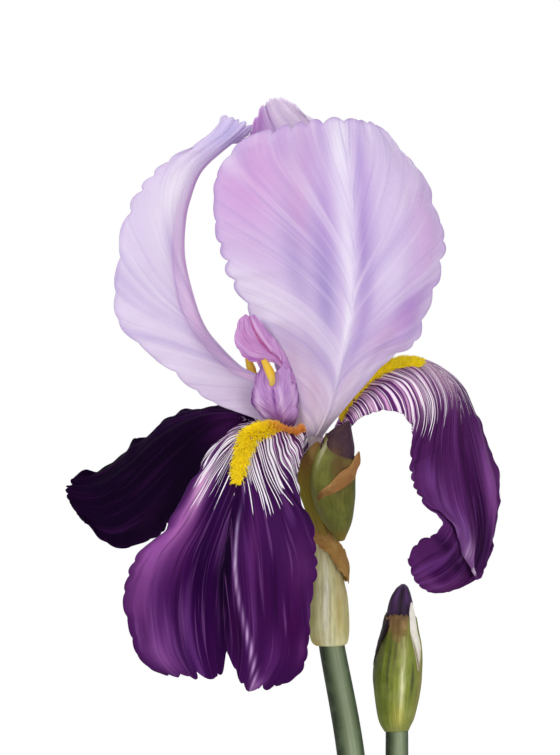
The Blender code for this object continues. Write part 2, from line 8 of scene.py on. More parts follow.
import bpy
import numpy as np
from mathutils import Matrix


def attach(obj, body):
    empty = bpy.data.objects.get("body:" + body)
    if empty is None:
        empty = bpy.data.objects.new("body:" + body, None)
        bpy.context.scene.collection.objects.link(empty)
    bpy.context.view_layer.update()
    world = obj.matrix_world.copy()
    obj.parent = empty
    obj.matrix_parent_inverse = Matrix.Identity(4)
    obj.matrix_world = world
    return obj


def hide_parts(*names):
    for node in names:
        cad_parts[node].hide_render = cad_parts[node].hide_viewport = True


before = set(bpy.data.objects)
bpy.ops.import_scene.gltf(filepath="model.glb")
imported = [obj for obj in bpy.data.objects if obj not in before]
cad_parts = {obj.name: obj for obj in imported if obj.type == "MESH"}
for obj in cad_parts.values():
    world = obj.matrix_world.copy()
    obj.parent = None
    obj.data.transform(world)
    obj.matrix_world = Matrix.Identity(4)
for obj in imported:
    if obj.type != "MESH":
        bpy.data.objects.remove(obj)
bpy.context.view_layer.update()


# ---- Studio --------------------------------------------------------------------------------------
# A large soft key from the upper left, a weaker fill from the right and a white room all round, with a
# matt white table top underneath. The camera stands level with the bloom, a good arm's length and a half
# away.

HEART = np.array([-20.4, -6.0, 288.2])  # middle of the bloom, where the petals join
VIEW_MIDDLE = (-27.7, 305.7)  # what the camera looks at, to the right and up
VIEW_HEIGHT = 211.4  # what the camera takes in, top to bottom, at the bloom
VIEW_DISTANCE = 1200.0
SENSOR = 36.0
AIM = np.array([-0.01, 0.0, 0.27])  # what the lights point at, in metres
TABLE_RADIUS = 1.5  # in metres

eye = bpy.data.cameras.new("eye")
eye.sensor_width = SENSOR
eye.lens = SENSOR * VIEW_DISTANCE / VIEW_HEIGHT
eye.clip_end = 20.0
camera = bpy.data.objects.new("camera", eye)
camera.location = (VIEW_MIDDLE[0] / 1000, (HEART[1] - VIEW_DISTANCE) / 1000, VIEW_MIDDLE[1] / 1000)
camera.rotation_euler = (math.radians(90), 0, 0)
bpy.context.scene.collection.objects.link(camera)
bpy.context.scene.camera = camera
bpy.context.scene.view_settings.view_transform = "Standard"


def linear(code):
    """An sRGB hex colour as linear red, green, blue and alpha."""
    parts = np.array([int(code[k : k + 2], 16) for k in (1, 3, 5)]) / 255
    return (*np.where(parts <= 0.04045, parts / 12.92, ((parts + 0.055) / 1.055) ** 2.4), 1.0)


def add_node(tree, kind, inputs=None, stops=None, **settings):
    """Adds a node. inputs gives its sockets values, or the sockets that feed them; stops are a ramp's
    colours."""
    made = tree.nodes.new(kind)
    for name, value in settings.items():
        setattr(made, name, value)
    for key, value in (inputs or {}).items():
        if isinstance(value, bpy.types.NodeSocket):
            tree.links.new(value, made.inputs[key])
        else:
            made.inputs[key].default_value = value
    for index, (place, colour) in enumerate(stops or ()):
        ramp = made.color_ramp.elements
        stop = ramp[index] if index < 2 else ramp.new(place)
        stop.position = place
        stop.color = colour
    return made


room = bpy.data.worlds.new("white_room")
room.use_nodes = True
room.node_tree.nodes.clear()
ray = add_node(room.node_tree, "ShaderNodeLightPath")
seen = add_node(room.node_tree, "ShaderNodeBackground", {"Color": (1, 1, 1, 1), "Strength": 1.0})
lit = add_node(room.node_tree, "ShaderNodeBackground", {"Color": (0.97, 0.98, 1, 1), "Strength": 0.60})
room_mix = add_node(room.node_tree, "ShaderNodeMixShader", {0: ray.outputs["Is Camera Ray"]})
room.node_tree.links.new(lit.outputs[0], room_mix.inputs[1])
room.node_tree.links.new(seen.outputs[0], room_mix.inputs[2])
add_node(room.node_tree, "ShaderNodeOutputWorld", {"Surface": room_mix.outputs[0]})
bpy.context.scene.world = room

for name, place, size, power in (
    ("key_light", (-0.75, -1.15, 0.95), 0.55, 8.5),
    ("fill_light", (1.1, -0.9, 0.45), 0.8, 4.0),
    ("back_light", (0.5, 1.1, 0.9), 0.6, 3.5),
):
    panel = bpy.data.lights.new(name, "AREA")
    panel.shape = "DISK"
    panel.size = size
    panel.energy = power
    stand = bpy.data.objects.new(name, panel)
    stand.location = place
    aim = AIM - np.array(place)
    yaw = math.atan2(aim[0], -aim[1])
    pitch = math.acos(-aim[2] / np.linalg.norm(aim))
    stand.rotation_euler = (pitch, 0, yaw + math.pi)
    bpy.context.scene.collection.objects.link(stand)

# Matt white laminate scatters light evenly, so it shows soft shadows and no reflections.
table = bpy.data.materials.new("matt_white_laminate")
table.use_nodes = True
table.node_tree.nodes["Principled BSDF"].inputs["Base Color"].default_value = linear("#f3f2f0")
table.node_tree.nodes["Principled BSDF"].inputs["Roughness"].default_value = 0.8
turn = np.linspace(0, 2 * np.pi, 129)[:-1]
rim = np.stack([TABLE_RADIUS * np.cos(turn), TABLE_RADIUS * np.sin(turn), np.full(128, -0.0002)], axis=1)
floor_mesh = bpy.data.meshes.new("table_top")
floor_mesh.from_pydata(rim.tolist(), [], [list(range(128))])
floor_mesh.materials.append(table)
floor = bpy.data.objects.new("table_top", floor_mesh)
bpy.context.scene.collection.objects.link(floor)


# ---- Vase ----------------------------------------------------------------------------------------
# Thrown stoneware bottle with a slim neck, dipped in an off-white glaze that stops above a bare foot. The
# glaze pools in the throwing rings, breaks warm over the lip and carries fine iron specks from the clay.

VASE_HEIGHT = 175.0
VASE_WALL = 3.2
VASE_FLOOR = 6.0
FOOT_RADIUS = 31.0
BELLY_RADIUS = 43.0
BORE_RADIUS = 8.8
RING_PITCH = 5.5
RING_DEPTH = 0.16


def smooth_path(points, count):
    """Catmull-Rom curve through the points, sampled at count places evenly spaced along its length."""
    knots = np.asarray(points, float)
    padded = np.vstack([2 * knots[0] - knots[1], knots, 2 * knots[-1] - knots[-2]])
    p0, p1, p2, p3 = (padded[k : len(padded) - 3 + k, None] for k in range(4))
    t = np.linspace(0, 1, 24, endpoint=False)[None, :, None]
    bends = (p2 - p0) * t + (2 * p0 - 5 * p1 + 4 * p2 - p3) * t**2 + (3 * p1 - p0 - 3 * p2 + p3) * t**3
    fine = np.vstack([(p1 + 0.5 * bends).reshape(-1, knots.shape[1]), knots[-1:]])
    along = np.concatenate([[0], np.cumsum(np.linalg.norm(np.diff(fine, axis=0), axis=1))])
    wanted = np.linspace(0, along[-1], count)
    return np.stack([np.interp(wanted, along, column) for column in fine.T], axis=1)


def surface(name, grid, wrap=False, caps=False, uv=None, paint=None, grain=None):
    """A mesh through a grid of points in millimetres: quads between rows and columns, the last column
    joined to the first if wrap is set, and a fan to the middle of the first and last rows if caps is set.
    Each vertex can carry a colour (paint) and its place in the pattern (grain); uv gives each vertex a
    place on the map."""
    rows, columns = grid.shape[:2]
    index = np.arange(rows * columns).reshape(rows, columns)
    if wrap:
        index = np.hstack([index, index[:, :1]])
    corners = (index[:-1, :-1], index[:-1, 1:], index[1:, 1:], index[1:, :-1])
    faces = np.stack([c.ravel() for c in corners], axis=1).tolist()
    points = grid.reshape(-1, 3)
    layers = [None if v is None else v.reshape(rows * columns, -1) for v in (uv, paint, grain)]
    if caps:
        for row, ends in ((index[0], 0), (index[-1], -1)):
            centre = len(points)
            points = np.vstack([points, grid[ends].mean(axis=0)])
            pairs = zip(row[:-1], row[1:]) if ends else zip(row[1:], row[:-1])
            faces += [[int(a), int(b), centre] for a, b in pairs]
            spots = (0, columns) if ends == 0 else ((rows - 1) * columns, rows * columns)
            layers = [v if v is None else np.vstack([v, v[slice(*spots)].mean(axis=0)]) for v in layers]
    mesh = bpy.data.meshes.new(name)
    mesh.from_pydata((points / 1000).tolist(), [], faces)
    mesh.shade_smooth()
    loops = np.empty(len(mesh.loops), int)
    mesh.loops.foreach_get("vertex_index", loops)
    uv, paint, grain = layers
    if uv is not None:
        mesh.uv_layers.new(name="surface").data.foreach_set("uv", uv[loops].ravel())
    if paint is not None:
        tint = mesh.color_attributes.new("paint", "FLOAT_COLOR", "POINT")
        tint.data.foreach_set("color", np.hstack([paint, np.ones((len(points), 1))]).ravel())
    if grain is not None:
        mesh.attributes.new("grain", "FLOAT_VECTOR", "POINT").data.foreach_set("vector", grain.ravel())
    made = bpy.data.objects.new(name, mesh)
    bpy.context.scene.collection.objects.link(made)
    return made


def thicken(piece, kind, thickness, offset=-1.0):
    """Gives a sheet its thickness in millimetres: offset -1 puts it on the back, 0 puts half on each
    side."""
    shell = piece.modifiers.new(kind, "SOLIDIFY")
    shell.thickness = thickness / 1000
    shell.offset = offset


def settle(piece, material, node):
    """Gives a piece its material and hands it to the frame in place of its solid."""
    piece.data.materials.append(material)
    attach(piece, "root")
    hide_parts(node)


neck = BORE_RADIUS + VASE_WALL
swell = BELLY_RADIUS - neck
outside = smooth_path(
    [
        (0.0, FOOT_RADIUS), (0.05 * VASE_HEIGHT, 0.45 * FOOT_RADIUS + 0.55 * BELLY_RADIUS),
        (0.18 * VASE_HEIGHT, 0.05 * FOOT_RADIUS + 0.95 * BELLY_RADIUS), (0.34 * VASE_HEIGHT, BELLY_RADIUS),
        (0.52 * VASE_HEIGHT, neck + 0.78 * swell), (0.68 * VASE_HEIGHT, neck + 0.30 * swell),
        (0.80 * VASE_HEIGHT, neck + 0.05 * swell), (0.92 * VASE_HEIGHT, neck),
        (VASE_HEIGHT - 0.4 * VASE_WALL, neck + 1.6),
    ],
    230,
)
slope = np.gradient(outside, axis=0)
slope /= np.linalg.norm(slope, axis=1)[:, None]
inside = outside + VASE_WALL * np.stack([slope[:, 1], -slope[:, 0]], axis=1)
inside = inside[inside[:, 0] > VASE_FLOOR + 2.0][::3]
fade = np.clip((outside[:, 0] - 6) / 20, 0, 1) * np.clip((VASE_HEIGHT - 8 - outside[:, 0]) / 25, 0, 1)
outside[:, 1] -= RING_DEPTH * fade * (0.5 + 0.5 * np.sin(2 * np.pi * outside[:, 0] / RING_PITCH))
lip_turn = np.linspace(0, np.pi, 9)[1:-1, None]
lip_mid, lip_half = 0.5 * (inside[-1] + outside[-1]), 0.5 * (inside[-1] - outside[-1])
lip = lip_mid + lip_half * np.cos(lip_turn) + np.array([1.45, 0.0]) * np.sin(lip_turn)
well = smooth_path([(VASE_FLOOR, 0.3), (VASE_FLOOR, 18), (VASE_FLOOR + 0.5, 28), tuple(inside[0])], 18)[:-1]
foot = smooth_path([(0.0, FOOT_RADIUS - 0.9), (0.25, FOOT_RADIUS - 0.2), (1.2, FOOT_RADIUS + 0.95)], 5)[::-1]
outline = np.vstack([well, inside, lip, outside[outside[:, 0] > 1.6][::-1], foot, [(0.0, 20.0), (0.0, 0.3)]])
around = np.linspace(0, 2 * np.pi, 161)[:-1]
turned = np.stack(
    [
        outline[:, 1:] * np.cos(around), outline[:, 1:] * np.sin(around),
        np.broadcast_to(outline[:, :1], (len(outline), 160)),
    ],
    axis=2,
)
vase = surface("vase_body", turned, wrap=True, caps=True)

# The glaze is a thin glass over clay: broad soft highlights, clouds of warmer and cooler white, dark rust
# specks. Below its edge the clay is bare, so the foot is rough, brown and matt.
glaze = bpy.data.materials.new("satin_white_glaze_on_stoneware")
glaze.use_nodes = True
tree = glaze.node_tree
shader = tree.nodes["Principled BSDF"]
place = add_node(tree, "ShaderNodeTexCoord").outputs["Object"]
height = add_node(tree, "ShaderNodeSeparateXYZ", {0: place}).outputs["Z"]
cloud = add_node(tree, "ShaderNodeTexNoise", {"Vector": place, "Scale": 28.0, "Detail": 4.0})  # 36 mm clouds
glaze_tone = add_node(
    tree, "ShaderNodeValToRGB", {0: cloud.outputs["Fac"]},
    stops=[(0.3, linear("#cfc8b8")), (0.7, linear("#e6e0d3"))],
)
rings_per_metre = 1000 / RING_PITCH
bands = add_node(tree, "ShaderNodeMath", {0: height, 1: 2 * math.pi * rings_per_metre}, operation="MULTIPLY")
ring = add_node(tree, "ShaderNodeMath", {0: bands.outputs[0]}, operation="SINE")
pooled = add_node(
    tree, "ShaderNodeMix", {0: 0.12, "A": glaze_tone.outputs[0], "B": linear("#a99f8a")}, data_type="RGBA",
)
pool = add_node(tree, "ShaderNodeMapRange", {0: ring.outputs[0], 1: -1.0, 2: 1.0, 3: 0.0, 4: 0.22})
tree.links.new(pool.outputs[0], pooled.inputs[0])
wobble = add_node(tree, "ShaderNodeTexNoise", {"Vector": place, "Scale": 60.0, "Detail": 2.0})  # 17 mm runs
lip_rise = add_node(
    tree, "ShaderNodeMath", {0: wobble.outputs["Fac"], 1: 0.006, 2: height}, operation="MULTIPLY_ADD",
)
lip_break = add_node(
    tree, "ShaderNodeMapRange", {0: lip_rise.outputs[0], 1: 0.1755, 2: 0.1790},
    interpolation_type="SMOOTHSTEP",
)
warm = add_node(
    tree, "ShaderNodeMix", {0: lip_break.outputs[0], "A": pooled.outputs["Result"], "B": linear("#a5794c")},
    data_type="RGBA",
)
speck = add_node(tree, "ShaderNodeTexVoronoi", {"Vector": place, "Scale": 260.0})  # a speck each 4 mm
speck_size = add_node(tree, "ShaderNodeTexNoise", {"Vector": place, "Scale": 190.0})
speck_room = add_node(
    tree, "ShaderNodeMapRange", {0: speck_size.outputs["Fac"], 1: 0.48, 2: 0.72, 3: 0.0, 4: 0.2},
)
speck_edge = add_node(
    tree, "ShaderNodeMath", {0: speck.outputs["Distance"], 1: speck_room.outputs[0]}, operation="LESS_THAN",
)
speck_fade = add_node(tree, "ShaderNodeMath", {0: speck_edge.outputs[0], 1: 0.7}, operation="MULTIPLY")
specked = add_node(
    tree, "ShaderNodeMix", {0: speck_fade.outputs[0], "A": warm.outputs["Result"], "B": linear("#6b4a30")},
    data_type="RGBA",
)
glaze_line = add_node(
    tree, "ShaderNodeMath", {0: wobble.outputs["Fac"], 1: 0.004, 2: height}, operation="MULTIPLY_ADD",
)
glazed = add_node(tree, "ShaderNodeMapRange", {0: glaze_line.outputs[0], 1: 0.0050, 2: 0.0056})
clay_grit = add_node(tree, "ShaderNodeTexNoise", {"Vector": place, "Scale": 2500.0, "Detail": 3.0})  # 0.4 mm
clay = add_node(
    tree, "ShaderNodeValToRGB", {0: clay_grit.outputs["Fac"]},
    stops=[(0.35, linear("#8d6d4f")), (0.65, linear("#b3926e"))],
)
vase_colour = add_node(
    tree, "ShaderNodeMix", {0: glazed.outputs[0], "A": clay.outputs[0], "B": specked.outputs["Result"]},
    data_type="RGBA",
)
tree.links.new(vase_colour.outputs["Result"], shader.inputs["Base Color"])
dull = add_node(tree, "ShaderNodeMapRange", {0: glazed.outputs[0], 1: 0.0, 2: 1.0, 3: 0.85, 4: 0.24})
tree.links.new(dull.outputs[0], shader.inputs["Roughness"])
orange_peel = add_node(tree, "ShaderNodeTexNoise", {"Vector": place, "Scale": 420.0, "Detail": 2.0})  # 2.4 mm
relief = add_node(
    tree, "ShaderNodeBump", {"Strength": 0.12, "Distance": 0.0004, "Height": orange_peel.outputs["Fac"]},
)
tree.links.new(relief.outputs[0], shader.inputs["Normal"])
shader.inputs["IOR"].default_value = 1.52
settle(vase, glaze, "vase")


# ---- Stems ---------------------------------------------------------------------------------------
# Two cut iris stems, solid and slightly ribbed, with a waxy grey bloom over green. They stand on the
# floor of the vase and lean on its neck. The lower few centimetres are paler, as on a stem kept in water.


def tube(path, radii, sides, ribs=0.0, count=None):
    """A profile carried along a path: P(u, w) = C(u) + r(u) (1 + ribs cos 5w) (cos w X(u) + sin w Y(u)),
    with X and Y square to the path, X as near +x as can be and w = 0 at the right, a quarter turn on
    facing away."""
    line = smooth_path([(*p, r) for p, r in zip(path, radii)], count or 60)
    centre, radius = line[:, :3], line[:, 3:]
    ahead = np.gradient(centre, axis=0)
    ahead /= np.linalg.norm(ahead, axis=1)[:, None]
    right = np.array([1.0, 0, 0]) - ahead * ahead[:, :1]
    right /= np.linalg.norm(right, axis=1)[:, None]
    away = np.cross(ahead, right)
    w = np.linspace(0, 2 * np.pi, sides + 1)[None, :-1]
    swell = radius * (1 + ribs * np.cos(5 * w))
    ring = right[:, None] * np.cos(w)[..., None] + away[:, None] * np.sin(w)[..., None]
    return centre[:, None] + swell[..., None] * ring


def facing(shape):
    """Grain for a tube: how far to the right of its middle, -1 to 1, how far along it, 0 to 1, and how
    much it faces the viewer, -1 to 1."""
    rows, sides = shape.shape[:2]
    w = np.linspace(0, 2 * np.pi, sides + 1)[None, :-1]
    side = np.cos(w) * np.ones((rows, 1))
    front = -np.sin(w) * np.ones((rows, 1))
    return np.stack([side, np.linspace(0, 1, rows)[:, None] * np.ones((1, sides)), front], axis=2)


def brushed(base, dabs, along, across):
    """Colours laid one over another. A dab (u, v, ru, rv, strength, hex) covers its place by
    strength exp(-((along - u) / ru)^2 - ((across - v) / rv)^2), and the result is linear."""
    tone = np.ones((*along.shape, 1)) * (np.array(linear(base)[:3]) ** (1 / 2.2))
    for u, v, ru, rv, strength, colour in dabs:
        cover = strength * np.exp(-(((along - u) / ru) ** 2) - ((across - v) / rv) ** 2)
        tone += cover[..., None] * (np.array(linear(colour)[:3]) ** (1 / 2.2) - tone)
    return np.clip(tone, 0, 1) ** 2.2


def plant_skin(name, streak, bloom, pitch=0.8, length=12.0, amount=0.5, roughness=0.45, relief=0.25):
    """Plant skin: the painted colour, lengthwise fibres pitch mm apart and length mm long that stand up a
    little, and a waxy bloom in 4.5 mm mottles that dulls the shine where it lies."""
    made = bpy.data.materials.new(name)
    made.use_nodes = True
    tree = made.node_tree
    shader = tree.nodes["Principled BSDF"]
    paint = add_node(tree, "ShaderNodeAttribute", attribute_name="paint")
    grain = add_node(tree, "ShaderNodeAttribute", attribute_name="grain")
    stretch = add_node(
        tree, "ShaderNodeVectorMath", {0: grain.outputs["Vector"], 1: (8 / pitch, 100 / length, 8 / pitch)},
        operation="MULTIPLY",
    )
    fibre = add_node(tree, "ShaderNodeTexNoise", {"Vector": stretch.outputs[0], "Scale": 1.0, "Detail": 3.0})
    fibre_range = add_node(
        tree, "ShaderNodeMapRange", {0: fibre.outputs["Fac"], 1: 0.42, 2: 0.66, 3: 0.0, 4: amount},
    )
    streaked = add_node(
        tree, "ShaderNodeMix",
        {0: fibre_range.outputs[0], "A": paint.outputs["Color"], "B": linear(streak)}, data_type="RGBA",
    )
    place = add_node(tree, "ShaderNodeTexCoord").outputs["Object"]
    wax = add_node(tree, "ShaderNodeTexNoise", {"Vector": place, "Scale": 220.0, "Detail": 4.0})
    wax_range = add_node(
        tree, "ShaderNodeMapRange", {0: wax.outputs["Fac"], 1: 0.45, 2: 0.75, 3: 0.0, 4: 0.35},
    )
    waxed = add_node(
        tree, "ShaderNodeMix",
        {0: wax_range.outputs[0], "A": streaked.outputs["Result"], "B": linear(bloom)}, data_type="RGBA",
    )
    tree.links.new(waxed.outputs["Result"], shader.inputs["Base Color"])
    rough = add_node(
        tree, "ShaderNodeMapRange",
        {0: wax.outputs["Fac"], 1: 0.3, 2: 0.8, 3: roughness, 4: roughness + 0.25},
    )
    tree.links.new(rough.outputs[0], shader.inputs["Roughness"])
    bump = add_node(
        tree, "ShaderNodeBump", {"Strength": relief, "Distance": 0.0004, "Height": fibre.outputs["Fac"]},
    )
    tree.links.new(bump.outputs[0], shader.inputs["Normal"])
    shader.inputs["IOR"].default_value = 1.42
    shader.inputs["Specular IOR Level"].default_value = 0.3
    shader.inputs["Subsurface Weight"].default_value = 0.08
    shader.inputs["Subsurface Radius"].default_value = (0.4, 0.6, 0.2)
    shader.inputs["Subsurface Scale"].default_value = 0.002
    return made


def round_piece(name, shape, base, dabs, material, node, wall=None):
    """A tube painted with dabs that are placed along it and across its front, closed at both ends, or an
    open sleeve where wall gives its name and thickness. It goes to the frame in place of its solid."""
    lie = facing(shape)
    made = surface(
        name, shape, True, wall is None, paint=brushed(base, dabs, lie[..., 1], lie[..., 0]), grain=lie,
    )
    if wall:
        thicken(made, *wall)
    settle(made, material, node)


# A fresh stem shines softly through its wax, and its fibres show as fine darker lines.
stem_skin = plant_skin("iris_stem_skin", "#48542f", "#7d8a6c", pitch=0.7, length=9.0, amount=0.35)
FLOWER_STEM = [
    (6, -12, 6.9), (-4.4, -1.2, 161), (-7.9, -3.0, 200), (-13.4, -5.9, 231.4), (-14.1, -6.0, 241.4),
]
BUD_STEM = [(6, 12, 6.9), (5.2, 1.2, 161), (5.2, 2.0, 205.4), (5.1, 2.0, 208.4)]
# The stem dabs paint shade, dark green, down the left and right sides and a pale highlight down the front;
# the foot is paler, as on a stem kept in water.
stem_shade_highlight_and_foot_dabs = [
    (0.5, -0.95, 9, 0.55, 1.0, "#121c0e"), (0.5, 0.20, 9, 0.35, 0.85, "#a0aa8c"),
    (0.5, 1.0, 9, 0.22, 0.9, "#2f3d2c"), (0.0, 0.0, 0.25, 9, 0.55, "#a9b184"),
]
for name, node, path, radii, count in (
    ("flower_stalk", "flower_stem", FLOWER_STEM, [3.9, 3.9, 3.9, 3.6, 3.4], 120),
    ("bud_stalk", "bud_stem", BUD_STEM, [3.2, 3.2, 3.2, 2.8], 100),
):
    shape = tube(path, radii, 48, ribs=0.018, count=count)
    round_piece(name, shape, "#72815f", stem_shade_highlight_and_foot_dabs, stem_skin, node)


# ---- Ovary, tube and spathe ----------------------------------------------------------------------
# The bloom's green tube with the ovary at its foot, held in a spathe: a leathery sheath, cream green and
# ribbed, whose upper rim has dried to a tan, papery edge that folds over to the right.

# The flower's tube is smooth and thin-skinned: a pale, faintly lined green.
tube_skin = plant_skin("perianth_tube_skin", "#6f7a3c", "#b9b98c", pitch=0.6, length=10.0, amount=0.35)
tube_path = HEART + np.array(
    [
        (0, 0, 7.5), (0, 0, 6.2), (0, 0, 3.5), (0, 0, 0), (0, 0, -5), (0.8, 0, -8), (2.5, 0, -12.5),
        (4.8, 0, -17), (6.1, 0, -25), (6.5, 0, -33), (6.4, 0, -39), (6.3, 0, -46.2),
    ]
)
throat = tube(tube_path, [0.4, 2.2, 4.2, 4.9, 4.9, 3.7, 2.4, 2.4, 2.4, 2.8, 3.3, 3.0], 48, count=90)
# The top of the tube is painted near-white lilac, paler than its own colour: painted light that lifts the
# shade under the petals.
tube_dabs_with_painted_light = [
    (0.10, 0, 0.22, 9, 1.0, "#fbe6fb"), (0.28, 0, 0.12, 9, 1.0, "#fbe4f6"),
    (0.42, 0.2, 0.07, 9, 0.5, "#bdbb95"), (0.65, 0, 0.2, 9, 0.6, "#8f9a4c"),
]
round_piece(
    "perianth_tube_and_ovary", throat, "#a3a565", tube_dabs_with_painted_light, tube_skin, "perianth_tube",
)

SPATHE_FOOT, SPATHE_END = -57.6, -20.0  # heights of the two ends of the sheath's path, from the heart
spathe_path = HEART + np.array(
    [
        (6.5, 0, -57.6), (6.5, 0, -56.9), (6.5, 0, -55.6), (6.4, 0, -52.0), (6.4, 0, -44.5), (6.4, 0, -32),
        (6.0, 0, -24.5), (5.6, 0, -20.0),
    ]
)
spathe_radii = [3.7, 4.6, 5.15, 5.5, 5.6, 5.15, 4.7, 4.6]
sheath = tube(spathe_path, spathe_radii, 120, count=110)
lie = facing(sheath)
w = np.linspace(0, 2 * np.pi, 121)[None, :-1]


def mouth(angle):
    """Height of the mouth's green edge at an angle about the axis, 0 at the right and 1.5 pi at the
    front."""
    ragged = 0.3 * np.sin(7 * angle) + 0.2 * np.sin(19 * angle)
    return -32.3 - 5.8 * np.cos(angle) - 1.5 * np.sin(angle) + ragged


out = sheath - sheath.mean(axis=1, keepdims=True)
out /= np.linalg.norm(out, axis=2)[..., None]
rib = 0.09 * np.sin(17 * w + 1.2) + 0.06 * np.sin(29 * w)
sheath += out * (rib * np.clip(lie[..., 1] / 0.15, 0, 1))[..., None]
reach = (mouth(w) - SPATHE_FOOT) / (SPATHE_END - SPATHE_FOOT)
foot_level = HEART[2] + SPATHE_FOOT
sheath[..., 2] = foot_level + (sheath[..., 2] - foot_level) * reach
# The spathe dabs paint a pale highlight down the front, a little left of the middle; the sides are painted
# darker and browner.
spathe_dabs_with_highlight = [
    (0.45, -0.95, 0.6, 0.28, 0.9, "#8f8a45"), (0.50, -0.15, 0.5, 0.14, 0.95, "#fffce6"),
    (0.40, 0.20, 0.5, 0.16, 0.6, "#e6dfae"), (0.45, 0.50, 0.4, 0.2, 0.7, "#c4ab62"),
    (0.80, 0.85, 0.30, 0.35, 0.8, "#b7a266"), (0.30, 0.95, 0.3, 0.25, 0.7, "#9a8f50"),
    (0.05, 0.0, 0.06, 0.5, 0.6, "#dcd8b0"), (0.02, -0.75, 0.10, 0.35, 0.8, "#a28a45"),
    (0.93, 0.0, 0.10, 9, 0.6, "#c7b98a"),
]
# The spathe is leathery: a dull cream green whose long ribs catch the light.
spathe_skin = plant_skin("spathe_skin", "#9d9a5c", "#e4e0bb", 0.9, 16.0, 0.4, 0.5, 0.4)
round_piece(
    "spathe_sheath", sheath, "#eae3b0", spathe_dabs_with_highlight, spathe_skin, "spathe",
    ("sheath wall", 0.5),
)


def around_axis(path, radii, rows, columns, start, end, low, high, lift):
    """A band wrapped on a tube: at turn t from start to end (0 faces the viewer, 90 to the right) it runs
    from place low(t) to high(t) along the path, lift(t, s) outside its radius."""
    samples = 200
    line = smooth_path([(*p, r) for p, r in zip(path, radii)], samples)
    t = np.linspace(0, 1, rows)[:, None]
    s = np.linspace(0, 1, columns)[None, :]
    along = (low(t) + (high(t) - low(t)) * s).clip(0, 1) * (samples - 1)
    centre = np.stack([np.interp(along, np.arange(samples), line[:, k]) for k in range(3)], axis=2)
    reach = np.interp(along, np.arange(samples), line[:, 3]) + lift(t, s)
    angle = np.radians(start + (end - start) * t + 0 * s)
    ring = np.stack([np.sin(angle), -np.cos(angle), 0 * angle], axis=2)
    return centre + reach[..., None] * ring, t + 0 * s, s + 0 * t


def dry_piece(name, band, base, dabs, along, across, grain, thickness, material, node):
    """A band from around_axis as a thin sheet, painted with dabs at (along, across) and turned so that
    its front is the outside."""
    made = surface(
        name, band[:, ::-1], paint=brushed(base, dabs, along, across)[:, ::-1],
        grain=np.stack(grain, axis=2)[:, ::-1],
    )
    thicken(made, "paper thickness", thickness)
    settle(made, material, node)


# Dried bract is thin, wrinkled and dead matt, tan with darker fibres that have drawn together.
papery = plant_skin("dried_papery_bract", "#8a5a26", "#dcb877", 0.35, 5.0, 0.55, 0.65, 0.7)


def rim_low(t):
    """Place along the sheath where the papery rim leaves its green part: 1.6 mm and a ripple below the
    mouth, t running from the left to the back right."""
    below = 1.6 + 0.5 * np.sin(13 * t)
    return (mouth(np.radians(165 + 260 * t)) - below - SPATHE_FOOT) / (SPATHE_END - SPATHE_FOOT)


def rim_high(t):
    """Place along the sheath of the papery rim's torn edge, farthest up in the middle."""
    return rim_low(t) + 0.13 + 0.11 * np.sin(np.pi * t) + 0.02 * np.sin(9 * t + 1) + 0.008 * np.sin(47 * t)


def rim_curl(t, s):
    """How far the papery rim stands off the sheath: crumpled all over and curled in towards its edge."""
    crumple = 0.14 * np.sin(23 * t + 5 * s) + 0.08 * np.sin(41 * t - 7 * s)
    return 0.30 + 0.25 * np.sin(3.1 * s) + crumple - 0.9 * s**2


band, t, s = around_axis(spathe_path, spathe_radii, 120, 22, -105, 155, rim_low, rim_high, rim_curl)
band_dabs = [
    (0.3, 0.1, 0.3, 0.3, 0.6, "#c08a4a"), (0.75, 0.5, 0.2, 0.6, 0.7, "#a87a2e"),
    (0.1, 0.9, 0.3, 0.4, 0.6, "#c79a5c"),
]
dry_piece(
    "spathe_papery_rim", band, "#b98c4e", band_dabs, t, s, (s * 1.2, t * 0.6, s), 0.25, papery,
    "spathe",
)


# ---- Side bud ------------------------------------------------------------------------------------
# A second bud closed tight against the tube: olive valves wrapped round furled petals that show dark
# purple at the tip, a dried tan bract wound obliquely across it, and a narrow olive bract standing beside
# it.

SIDE_BUD = [  # to the right, away and up from the heart, then radius
    (9.8, -4.9, -27.8, 1.0), (9.0, -6.5, -22.8, 3.9), (7.9, -8.0, -16.8, 5.8), (7.4, -9.1, -11.2, 6.3),
    (8.1, -10.0, -5.6, 5.8), (9.5, -10.5, 0.0, 4.3), (11.9, -11.0, 5.4, 1.3),
]
bud_path = HEART + np.array(SIDE_BUD)[:, :3]
bud_radii = [k[3] for k in SIDE_BUD]
